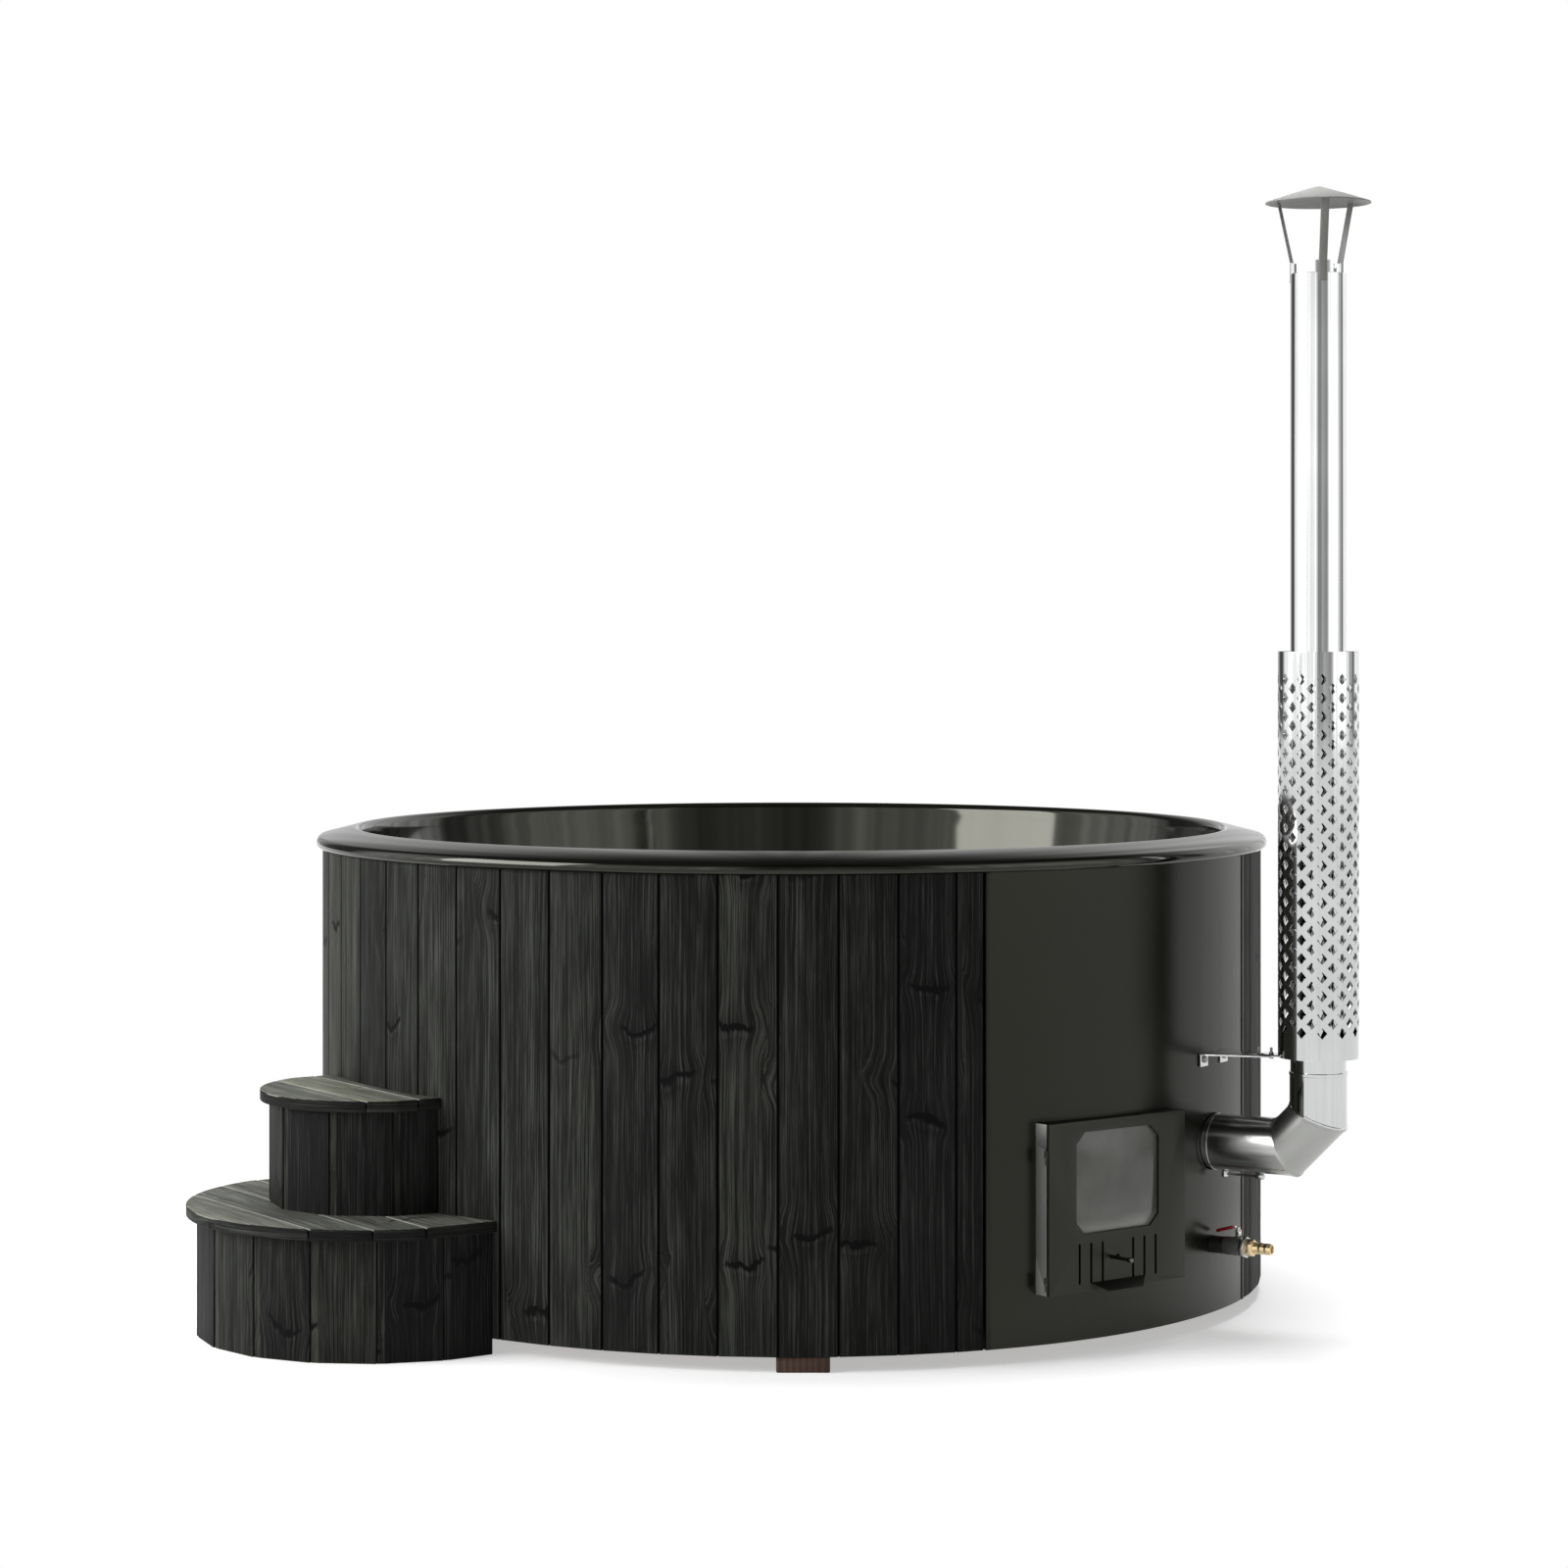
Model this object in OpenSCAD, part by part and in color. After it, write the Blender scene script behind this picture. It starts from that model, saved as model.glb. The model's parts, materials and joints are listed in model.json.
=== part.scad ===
// Round wooden hot tub with a built-in wood stove, chimney, drain valve and a two-tier step.
// Millimetres. The origin is on the floor below the middle of the tub, +Z up, the front towards -Y.
// Every angle named phi is measured in plan from the front (-Y) towards the right (+X).

/* [Tub] */
// Outer radius of the cladding
tub_r = 1100; // [1080:5:1120]
// Height of the cladding's lower edge above the floor
cladding_z = 33; // [30:1:36]
// Height of the cladding boards
cladding_h = 998; // [980:1:1020]
// Thickness of a wall board
board_t = 21; // [18:1:24]
// Number of boards that would close the whole circle
board_count = 55; // [50:1:60]
// Width of the groove between two boards
board_gap = 3; // [2:0.5:5]
// Depth of the groove between two boards
board_groove = 7; // [4:1:12]
// Direction of the first seam
seam_phi = -1.55; // [-3:0.05:3]

/* [Liner] */
// Width of the rim from the opening to the cladding's face
rim_w = 92; // [86:1:98]
// Height of the rim's crest above the cladding
rim_rise = 45; // [40:1:50]
// How far the rim's roll stands out past the cladding
rim_proud = 13; // [10:1:16]
// Wall of the moulded liner
liner_t = 8; // [6:1:10]
// Width of the bench, from the foot well to the back wall
bench_w = 390; // [385:1:400]
// Height of the foot well's floor
footwell_z = 160; // [158:1:164]
// Height of the bench
bench_z = 560; // [556:1:580]
// Distance from the cladding's face in to the bench's back wall
back_w = 150; // [145:1:160]

/* [Base] */
// Width of a skid
skid_w = 112; // [100:1:120]
// Sideways place of the middle skid
skid_x = 22; // [10:1:30]
// Distance between skids
skid_pitch = 560; // [500:5:600]
// Joist width
joist_w = 45; // [40:1:50]
// Joist height
joist_h = 80; // [78:1:82]
// Thickness of the deck planks
deck_t = 27; // [26:1:28]
// Width of a deck plank
deck_w = 143; // [130:1:150]

/* [Cover panel] */
// Direction of the panel's front edge
panel_start_phi = 21.4; // [21:0.1:22]
// Direction of the panel's rear edge
panel_end_phi = 67.3; // [66:0.1:69]
// Thickness of the panel sheet
panel_t = 1.5; // [1:0.1:2]
// Width of the edge trims
trim_w = 11; // [8:1:14]

/* [Stove] */
// Direction that the stove door faces
door_phi = 38; // [37.6:0.1:38.4]
// Room between the foot well and the jacket
jacket_room = 120; // [115:1:130]
// Room between the drain pipe and the jacket's corner
drain_room = 7; // [6:0.5:10]
// Height of the water jacket
jacket_h = 385; // [380:1:390]
// Gap between the two walls of the jacket
water_gap = 30; // [25:1:32]
// Sheet of the jacket's outer wall
jacket_t = 3; // [2:0.5:4]
// Plate of the firebox
firebox_t = 4; // [3:0.5:6]
// Distance from the cladding's face in to the stove's front plate
stove_inset = 145; // [140:1:150]
// Thickness of the front plate
front_t = 6; // [5:1:8]

/* [Stove door] */
// Door width
door_w = 393; // [385:1:396]
// Door height
door_h = 360; // [357:1:363]
// Height of the door's lower edge above the deck
door_up = 1; // [0.5:0.5:3]
// Thickness of the door plate
door_t = 5; // [4:0.5:6]
// How far the door frame stands out past the cladding's circle
frame_proud = 16.5; // [14:0.5:20]
// Wall of the door frame
frame_t = 5; // [4:0.5:6]
// Width of the window
window_w = 238; // [220:1:250]
// Height of the window
window_h = 216; // [200:1:220]
// Height of the window's lower edge above the door's lower edge
window_up = 121; // [120:1:123]
// Size of the window's cut corners
window_cut = 25; // [15:1:35]
// Thickness of the glass
glass_t = 4; // [3:0.5:5]
// Width of an air slot
slot_w = 6; // [5:0.5:8]
// Distance between air slots
slot_pitch = 33; // [32:1:36]
// Distance from the middle of the door to the first slot
slot_first = 44; // [42:1:48]
// Length of an air slot
slot_h = 86; // [70:1:87]
// Height of the slots' lower ends above the door's lower edge
slot_up = 16; // [15:1:17]
// Length of the air knob
knob_l = 62; // [50:1:70]
// Diameter of the air knob
knob_d = 8; // [6:1:9]
// How far the pull lip stands out
lip_d = 28; // [24:1:32]
// Width of the pull lip at the door
lip_w = 158; // [150:1:170]

/* [Flue and chimney] */
// Direction of the flue and the drain
flue_phi = 57.5; // [57.3:0.1:57.7]
// Height of the flue's centre line
flue_z = 410; // [407:1:413]
// Distance from the cladding's face out to the chimney's axis
chimney_out = 252.5; // [245:0.5:260]
// Outer diameter of the chimney pipe
pipe_d = 120; // [116:1:124]
// Sheet of the flue and chimney pipes
pipe_t = 1.5; // [1:0.1:2]
// Height of the chimney pipe's top
pipe_top = 2308; // [2200:10:2400]
// Height of the tabs on the pipe's top
tab_h = 26; // [20:1:30]
// Width of the tabs on the pipe's top
tab_w = 34; // [30:1:40]
// Outer diameter of the heat guard
guard_d = 174; // [168:1:180]
// Height of the heat guard's lower edge
guard_z = 611; // [606:1:620]
// Length of the heat guard
guard_h = 879; // [860:1:900]
// Number of openings round the guard
guard_count = 12; // [10:2:14]
// Number of full rows of openings
guard_rows = 20; // [10:1:20]
// Distance between rows of openings
guard_pitch = 40; // [38:1:41]
// Width of a diamond opening
diamond_w = 22; // [16:1:24]
// Height of a diamond opening
diamond_h = 25; // [20:1:27]
// Diameter of the rain cap
cap_d = 226; // [210:1:240]
// Height of the rain cap's rim above the pipe's top
cap_up = 154; // [140:1:165]
// Height of the rain cap's cone
cap_h = 36; // [30:1:45]
// Width of the cap straps
strap_w = 18; // [14:1:22]

/* [Drain] */
// Height of the drain's centre line above the foot well's floor
drain_up = 23; // [22:0.5:26]
// Outer diameter of the drain pipe
drain_d = 38; // [34:1:39]
// Inner diameter of the drain pipe
drain_bore = 26; // [22:1:28]
// Length of the drain pipe outside the cladding
drain_out = 31; // [28:1:36]
// Diameter of the valve body
valve_d = 40; // [38:1:44]
// Length of the valve body and its end nut
valve_l = 52; // [50:1:56]
// Diameter over the corners of the end nut
nut_d = 47; // [44:1:50]
// Diameter of the hose tail's barbs
hose_d = 26; // [24:1:28]
// Length of the hose tail
tail_l = 60; // [55:1:70]
// Length of the lever's red grip
grip_l = 42; // [38:1:46]

/* [Steps] */
// Direction of the steps
step_phi = -56.3; // [-60:0.1:-50]
// Distance from the cladding's face in to the steps' centre
step_in = 13; // [5:1:20]
// Radius of the lower step's wall, over the corners
low_wall_r = 402; // [396:1:405]
// Radius of the lower tread
low_tread_r = 424; // [418:1:440]
// Greatest distance of the lower tread's edge from its middle line
low_half = 405.5; // [404:0.5:412]
// Height of the lower tread's top
low_z = 284; // [270:1:300]
// Number of boards in the lower wall
low_boards = 10; // [10:1:11]
// Angle taken by one board of the lower wall
low_pitch = 20.4; // [20:0.1:20.8]
// Radius of the upper step's wall, over the corners
up_wall_r = 245.5; // [240:0.5:249]
// Radius of the upper tread
up_tread_r = 264; // [260:1:272]
// Greatest distance of the upper tread's edge from its middle line
up_half = 248; // [247:0.5:255]
// Height of the upper tread's top
up_z = 532; // [515:1:550]
// Number of boards in the upper wall
up_boards = 6; // [6:1:7]
// Angle taken by one board of the upper wall
up_pitch = 32.9; // [32.5:0.1:33.5]
// Turn of the upper wall's boards round their centre
up_turn = 2.7; // [-3:0.1:3]
// Thickness of the treads
tread_t = 24; // [20:1:28]
// Width of the lower tread's planks with their gap
low_plank = 106; // [100:1:112]
// Width of the upper tread's planks with their gap
up_plank = 110; // [100:1:120]
// Distance from the centre to the upper tread's first seam
up_seam = 40; // [30:1:50]

/* [Hidden] */
$fn = 96;
// Small gap between pieces that only rest against each other
fit = 0.3;
// Radial play of a pin or spindle in its hole
play = 0.05;
// Overrun of every cut
over = 5;

// Board joint and wall
pitch = 360 / board_count;
half_pitch = pitch / 2;
slit = 0.5;
face_r = tub_r * cos(half_pitch);
inner_r = face_r - board_t;
cladding_top = cladding_z + cladding_h;
first_board = floor((panel_end_phi - seam_phi) / pitch);
last_board = ceil((panel_start_phi + 360 - seam_phi) / pitch) - 1;
least_cut_share = 0.15;
quarter_boards = (last_board + 1 - first_board) / 4;

// Base
joist_pitch = 290;
joist_rows = 3;
skid_recess = 180;
deck_top = cladding_z + joist_h + deck_t;
deck_r = inner_r - fit;
deck_gap = 3;

// Hoops and studs that carry the boards
hoop_t = 18;
hoop_w = 37;
hoop_r = inner_r - fit;
middle_hoop_z = bench_z + 10;
top_hoop_z = cladding_top - 46;
stud_w = 45;
stud_first_phi = 84;
stud_step_phi = 31;
stud_count = 9;
batten_w = 45;
batten_r = tub_r - panel_t - fit;
panel_cut = 1;
flue_cut = 3;

// Liner profile
opening_r = tub_r - rim_w;
bench_r = tub_r - back_w;
footwell_r = bench_r - bench_w;
crest_z = cladding_top + rim_rise;
corner_r = 20;
bench_nose_r = 30;
bench_back_r = 45;
wall_lean = 12;
rim_edge_h = 14;
crest_in = 17;
lip_ledge = 26;

// Insulation round the foot well
foam_t = 25;
foam_disc_t = footwell_z - liner_t - deck_top;

// Stove, in the door's own frame
front_x = tub_r - stove_inset;
rear_x = footwell_r + jacket_room;
jacket_top = deck_top + jacket_h;
smoke_side = 60;
stub_rel_phi = flue_phi - door_phi;
jacket_w = 2 * (rear_x * sin(stub_rel_phi) - drain_d / 2 - drain_room) / cos(stub_rel_phi);
smoke_y = front_x * tan(stub_rel_phi) + pipe_d / 2 + smoke_side;
smoke_z = flue_z - pipe_d / 2 - smoke_side;
chamber_in = jacket_t + water_gap;
throat_lift = 3;
throat_w = jacket_w - 2 * (chamber_in + firebox_t + throat_lift);
baffle_gap = 85;
grate_in = 13;
grate_w = jacket_w - 2 * (chamber_in + firebox_t + grate_in);
grate_l = 220;
grate_t = 14;
grate_lift = 68;
grate_bars = 11;
grate_bar_w = 14;
grate_foot = 18;
pan_h = 46;
pan_t = 2;
pan_in = 22;
water_pipe_d = 50;
water_pipe_t = 2.5;
water_low = 75;
water_high = 330;
water_into = 12;
grille_d = 96;
grille_t = 4;
grille_slot = 6;
grille_slots = 5;
grille_pitch = 12;

// Door frame, hinge and door
frame_x = tub_r + frame_proud;
door_gap = 3;
door_x = frame_x + door_gap;
half_w = door_w / 2;
door_z = deck_top + door_up;
door_top = door_z + door_h;
flange_w = 10;
flange_t = 3;
barrel_d = 9;
barrel_h = 15;
barrel_play = 0.5;
hinge_pin_d = 5;
hinge_x = frame_x + door_gap / 2;
hinge_y = -half_w - 2.5;
leaf_w = 9;
hinge_low = 10;
hinge_high = 55;
hinge_zs = [door_z + hinge_low, door_top - hinge_high - 2 * barrel_h];
gasket_w = 6;
gasket_in = 3.5;
window_z = door_z + window_up;
pane_over = 7;
clip_w = 24;
clip_t = 2;
clip_l = 16;
slot_z = door_z + slot_up;
slot_steps = [0, 1, 2];
slide_travel = slot_pitch / 2;
slider_t = 2.3;
slider_x = door_x - fit - slider_t;
slider_end = 9;
slider_w = 2 * (slot_first + 2 * slot_pitch + slot_w / 2 + slider_end);
slider_low = slot_z - 2.5;
slider_high = slot_z + slot_h + 7;
rail_t = 3;
rail_lip = 2;
rail_hold = 3.5;
rail_l = slider_w + slide_travel + 2 * over;
knob_up_share = 0.58;
knob_z = slot_z + slot_h * knob_up_share;
knob_y = -slide_travel;
knob_tip_l = 14;
knob_tip_d = knob_d + 2;
lip_up = 18;
lip_z = door_z + lip_up;
lip_t = 3.5;
lip_tip_w = 100;
lip_drop = 17;

// Flue, elbow and damper, in the flue's own frame
sleeve_id = pipe_d + 2 * fit;
elbow_d = sleeve_id + 2 * pipe_t;
chimney_x = tub_r + chimney_out;
leg_rise = 72;
first_mitre_x = chimney_x - leg_rise;
second_mitre_z = flue_z + leg_rise;
elbow_start = 8;
elbow_leg = 98.5;
elbow_top = second_mitre_z + elbow_leg;
stub_start = front_x / cos(stub_rel_phi) - 30;
stub_end = tub_r + 90;
damper_x = tub_r + 29;
damper_gap = 2.5;
damper_t = 2;
spindle_d = 8;
spindle_drop = 15;
collar_d = 14;
collar_gap = 1.5;
collar_h = 12;
handle_d = 6;
handle_l = 76;
grip_knob_d = 13;
grip_knob_l = 18;

// Chimney, guard, bracket and cap
pipe_r = pipe_d / 2;
pipe_into = 50;
pipe_bottom = elbow_top - pipe_into;
guard_r = guard_d / 2;
guard_t = 1.5;
spacer_w = 16;
spacer_h = 14;
spacer_in = 12;
first_row_z = guard_z + (guard_h - (guard_rows - 1) * guard_pitch) / 2;
plate_t = 3;
bracket_z = guard_z - fit - plate_t;
ring_d = pipe_d + 18;
arm_w = 98;
arm_end_w = 44;
arm_l = 150;
slide_l = 130;
slide_w = 36;
tab_drop = 25;
foot_w = 36;
foot_bolt_d = 9;
arm_bolt_d = 6;
arm_bolt_h = 14;
arm_bolts = [110, 141];
bolt_head_d = 11;
bolt_head_h = 4;
foot_bolt_head_d = 15;
foot_bolt_head_h = 5;
cap_z = pipe_top + cap_up;
cap_t = 1.5;
cap_tip_r = 3;
strap_t = 2;
strap_low = 18;
strap_out_r = 97;
strap_phis = [64, 184, 304];

// Drain and valve, in the flue's own frame
drain_z = footwell_z + drain_up;
drain_start = footwell_r - 18;
drain_end = tub_r + drain_out;
strainer_d = drain_d + 4;
strainer_t = 4;
strainer_x = drain_start - strainer_t;
strainer_skirt = 5;
strainer_slot = 3;
strainer_pitch = 6;
strainer_sides = 2;
nut_l = 12;
stem_in = 21;
valve_x = drain_end + valve_l - stem_in;
valve_end = drain_end + valve_l;
ball_r = 15;
ball_gap = 0.3;
valve_bore = 20;
stem_d = 8;
pad_d = 18;
pad_h = valve_d / 2 + 1.5;
gland_d = 15;
gland_h = 12;
stem_top = pad_h + gland_h + 9;
lever_t = 3;
lever_w = 12;
lever_hub_d = 14;
lever_l = 30;
lever_dip = 16;
lever_rise = 8;
lever_bend = 7.5;
grip_w = 15;
grip_t = 7;
grip_gap = 2;
tail_hex_d = 38;
tail_hex_l = 17;
tail_bore = 16;
tail_neck = 3;
barb_count = 3;
barb_land = 5;

// Steps, in their own frame
step_x = tub_r - step_in;
step_back = 150;
step_board_t = 20;
step_gap = 3;
low_wall_h = low_z - tread_t;
up_wall_h = up_z - tread_t - low_z;
bearer_w = 45;
bearer_h = 45;
low_bearers = [-210, 0, 210];
up_bearers = [-90, 90];
bearer_back = 20;

// Turns its children so that +X points outward in direction phi
module at_phi(phi) {
    rotate([0, 0, phi - 90]) children();
}

// A box given by its lowest and highest corner
module block(low, high) {
    translate(low) cube(high - low);
}

// A cylinder that lies along +X
module rod_x(d, x0, x1) {
    translate([x0, 0, 0]) rotate([0, 90, 0]) cylinder(h = x1 - x0, d = d);
}

// A tube that stands on z0
module tube(od, id, z0, z1) {
    difference() {
        translate([0, 0, z0]) cylinder(h = z1 - z0, d = od);
        translate([0, 0, z0 - over]) cylinder(h = z1 - z0 + 2 * over, d = id);
    }
}

// A tube that lies along +X
module tube_x(od, id, x0, x1) {
    difference() {
        rod_x(od, x0, x1);
        rod_x(id, x0 - over, x1 + over);
    }
}

// A ring with square edges, between two radii
module ring(r_in, r_out, z0, h) {
    difference() {
        translate([0, 0, z0]) cylinder(h = h, r = r_out);
        translate([0, 0, z0 - over]) cylinder(h = h + 2 * over, r = r_in);
    }
}

// Part of a ring, from direction phi0 to phi1
module ring_part(r_in, r_out, z0, h, phi0, phi1) {
    at_phi(phi0) rotate_extrude(angle = phi1 - phi0)
        translate([r_in, z0]) square([r_out - r_in, h]);
}

// Points on an arc in a profile, from angle a0 to a1
function arc_points(c, r, a0, a1, n) =
    [for (i = [0 : n]) c + r * [cos(a0 + (a1 - a0) * i / n), sin(a0 + (a1 - a0) * i / n)]];

// Cross-section of a flat wall board with grooved edges, cut at the angles a0 and a1
function board_section(face, a0, a1, t, gap, groove) = [
    [face, face * tan(a0) + gap / 2],
    [face, face * tan(a1) - gap / 2],
    [face - groove, (face - groove) * tan(a1) - gap / 2],
    [face - groove, (face - groove) * tan(a1) - slit / 2],
    [face - t, (face - t) * tan(a1) - slit / 2],
    [face - t, (face - t) * tan(a0) + slit / 2],
    [face - groove, (face - groove) * tan(a0) + slit / 2],
    [face - groove, (face - groove) * tan(a0) + gap / 2]
];

// Outline of a rectangle with cut corners, centred on the origin
function cut_rectangle(w, h, c) = [
    [-w / 2 + c, -h / 2], [w / 2 - c, -h / 2], [w / 2, -h / 2 + c], [w / 2, h / 2 - c],
    [w / 2 - c, h / 2], [-w / 2 + c, h / 2], [-w / 2, h / 2 - c], [-w / 2, -h / 2 + c]
];

// Liner wall

// Wall of the foot well at height z, leaning outward
function wall_r(z) = footwell_r + wall_lean * (z - footwell_z) / (bench_z - footwell_z);

// Inner side of the liner, from the middle of the floor to the rim's opening
inner_profile = concat(
    [[0, footwell_z]],
    arc_points([footwell_r - corner_r, footwell_z + corner_r], corner_r, -90, 0, 5),
    arc_points([wall_r(bench_z) + bench_nose_r, bench_z - bench_nose_r], bench_nose_r, 180, 90, 6),
    arc_points([bench_r - bench_back_r, bench_z + bench_back_r], bench_back_r, -90, 0, 6),
    [[opening_r - liner_t / 2, cladding_top - rim_edge_h]]
);

// Outer side of the liner below the rim, from the rim back to the middle of the floor
outer_profile = concat(
    [[opening_r + liner_t, cladding_top - rim_edge_h]],
    arc_points([bench_r - bench_back_r, bench_z + bench_back_r], bench_back_r + liner_t, 0, -90, 6),
    arc_points([wall_r(bench_z) + bench_nose_r, bench_z - bench_nose_r],
        bench_nose_r - liner_t, 90, 180, 6),
    arc_points([footwell_r - corner_r, footwell_z + corner_r], corner_r + liner_t, 0, -90, 5),
    [[0, footwell_z - liner_t]]
);

// Rim from the opening over the crest to the outer roll and back under
rim_profile = concat(
    [[opening_r, cladding_top + rim_edge_h]],
    arc_points([opening_r + crest_in, crest_z - crest_in], crest_in, 170, 80, 6),
    arc_points([tub_r + rim_proud - crest_in, crest_z - 2 * crest_in], crest_in, 62, 0, 5),
    [
        [tub_r + rim_proud, cladding_top + crest_in / 3],
        [tub_r + rim_proud - crest_in / 3, cladding_top],
        [inner_r, cladding_top],
        [inner_r, cladding_top + liner_t],
        [opening_r + lip_ledge + liner_t, cladding_top + liner_t]
    ]
);

module liner() {
    color("#141414") difference() {
        rotate_extrude($fn = 180) polygon(concat(inner_profile, rim_profile, outer_profile));
        at_phi(flue_phi) translate([0, 0, drain_z])
            rod_x(drain_d + 2 * fit, drain_start - over, footwell_r + 2 * corner_r);
        at_phi(door_phi) for (z = [water_low, water_high]) translate([0, 0, deck_top + z])
            rod_x(water_pipe_d + 2 * fit, footwell_r - water_into, footwell_r + 2 * corner_r);
    }
}

// Foam jacket round the foot well and below its floor
module foam_insulation() {
    foam_in = wall_r(bench_z) + liner_t + fit;
    foam_top = bench_z - 2 * bench_nose_r;
    color("#d8c88a") difference() {
        rotate_extrude($fn = 180) polygon([
            [0, deck_top], [foam_in + foam_t, deck_top], [foam_in + foam_t, foam_top],
            [foam_in, foam_top], [foam_in, deck_top + foam_disc_t], [0, deck_top + foam_disc_t]
        ]);
        at_phi(flue_phi) translate([0, 0, drain_z])
            rod_x(drain_d + 2 * fit, footwell_r - over, footwell_r + 4 * foam_t);
        at_phi(door_phi) for (z = [water_low, water_high]) translate([0, 0, deck_top + z])
            rod_x(water_pipe_d + 2 * fit, footwell_r - over, footwell_r + 4 * foam_t);
    }
}

// Base

module base_skids() {
    side_x = [skid_x - skid_pitch, skid_x + skid_pitch];
    middle_l = 2 * sqrt(pow(face_r, 2) - pow(skid_x + skid_w / 2, 2));
    color("#4a2f22") {
        translate([skid_x - skid_w / 2, -middle_l / 2, 0]) cube([skid_w, middle_l, cladding_z]);
        for (x = side_x) {
            reach = abs(x) + skid_w / 2;
            l = 2 * (sqrt(pow(inner_r, 2) - pow(reach, 2)) - skid_recess);
            translate([x - skid_w / 2, -l / 2, 0]) cube([skid_w, l, cladding_z]);
        }
    }
}

module floor_joists() {
    color("#b08a5a") for (row = [-joist_rows : joist_rows]) {
        y = row * joist_pitch;
        l = 2 * sqrt(pow(deck_r, 2) - pow(abs(y) + joist_w / 2, 2)) - 2 * over;
        translate([-l / 2, y - joist_w / 2, cladding_z]) cube([l, joist_w, joist_h]);
    }
}

module floor_deck() {
    rows = ceil(deck_r / deck_w);
    color("#b8925f") intersection() {
        translate([0, 0, cladding_z + joist_h]) cylinder(h = deck_t, r = deck_r, $fn = 180);
        for (row = [-rows : rows])
            translate([-tub_r, row * deck_w - deck_w / 2, cladding_z + joist_h - over])
                cube([2 * tub_r, deck_w - deck_gap, deck_t + 2 * over]);
    }
}

// Wall

module middle_hoop() {
    color("#b8925f") ring(hoop_r - hoop_w, hoop_r, middle_hoop_z, hoop_t, $fn = 180);
}

module top_hoop() {
    color("#b8925f") ring(hoop_r - hoop_w, hoop_r, top_hoop_z, hoop_t, $fn = 180);
}

module wall_studs() {
    color("#b8925f") for (i = [0 : stud_count - 1]) at_phi(stud_first_phi + i * stud_step_phi) {
        block([hoop_r - hoop_w, -stud_w / 2, deck_top], [hoop_r - over, stud_w / 2, middle_hoop_z]);
        block([hoop_r - hoop_w, -stud_w / 2, middle_hoop_z + hoop_t],
            [hoop_r - over, stud_w / 2, top_hoop_z]);
    }
}

// One quarter of the boards, counted from the panel's rear edge round the back to its front edge
module cladding(quarter) {
    low = panel_end_phi;
    high = panel_start_phi + 360;
    k0 = first_board + round(quarter * quarter_boards);
    k1 = first_board + round((quarter + 1) * quarter_boards) - 1;
    color("#262725") for (k = [k0 : k1]) {
        mid = seam_phi + (k + 1 / 2) * pitch;
        a0 = max(-half_pitch, low - mid);
        a1 = min(half_pitch, high - mid);
        if (a1 - a0 > pitch * least_cut_share)
            at_phi(mid) translate([0, 0, cladding_z]) linear_extrude(cladding_h)
                polygon(board_section(face_r, a0, a1, board_t, board_gap, board_groove));
    }
}

// Battens behind both edges of the panel, in line with the boards
module panel_battens() {
    angle = batten_w / tub_r * 180 / PI;
    gap_angle = board_gap / tub_r * 180 / PI;
    color("#b8925f") {
        ring_part(hoop_r + fit, batten_r, cladding_z, cladding_h,
            panel_start_phi + gap_angle, panel_start_phi + gap_angle + angle);
        ring_part(hoop_r + fit, batten_r, cladding_z, cladding_h,
            panel_end_phi - gap_angle - angle, panel_end_phi - gap_angle);
    }
}

module cover_panel() {
    gap_angle = board_gap / tub_r * 180 / PI;
    color("#1b1b1b") difference() {
        ring_part(tub_r - panel_t, tub_r, cladding_z, cladding_h,
            panel_start_phi + gap_angle, panel_end_phi - gap_angle);
        at_phi(door_phi) block([front_x, -half_w - panel_cut, door_z - panel_cut],
            [frame_x, half_w + panel_cut, door_top + panel_cut]);
        at_phi(flue_phi) {
            translate([0, 0, flue_z]) rod_x(pipe_d + 2 * flue_cut, front_x, frame_x);
            translate([0, 0, drain_z]) rod_x(drain_d + 2 * panel_cut, front_x, frame_x);
            for (y = [-arm_w / 2, arm_w / 2]) translate([0, y, bracket_z - tab_drop / 2])
                rod_x(foot_bolt_d + 2 * fit, front_x, frame_x);
        }
    }
}

// Thin strips over the panel's two upright edges
module panel_trims() {
    angle = trim_w / tub_r * 180 / PI;
    gap_angle = board_gap / tub_r * 180 / PI;
    color("#101010") {
        ring_part(tub_r + fit, tub_r + fit + panel_t, cladding_z, cladding_h,
            panel_start_phi + gap_angle, panel_start_phi + gap_angle + angle);
        ring_part(tub_r + fit, tub_r + fit + panel_t, cladding_z, cladding_h,
            panel_end_phi - gap_angle - angle, panel_end_phi - gap_angle);
    }
}

// Stove

// The jacket's outline: the firebox part with the smoke box beside it, shrunk by an inset
module stove_volume(inset, front) {
    block([rear_x + inset, -jacket_w / 2 + inset, deck_top + inset],
        [front, jacket_w / 2 - inset, jacket_top - inset]);
    block([rear_x + inset, -inset, smoke_z + inset],
        [front, smoke_y - inset, jacket_top - inset]);
}

module heater_jacket() {
    color("#b9bcbd") at_phi(door_phi) difference() {
        stove_volume(0, front_x);
        stove_volume(jacket_t, front_x + over);
        for (z = [water_low, water_high]) translate([0, 0, deck_top + z])
            rod_x(water_pipe_d + 2 * fit, rear_x - over, rear_x + jacket_t + over);
    }
}

module firebox() {
    color("#6b6b6b") at_phi(door_phi) difference() {
        stove_volume(chamber_in, front_x);
        stove_volume(chamber_in + firebox_t, front_x + over);
    }
}

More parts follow.
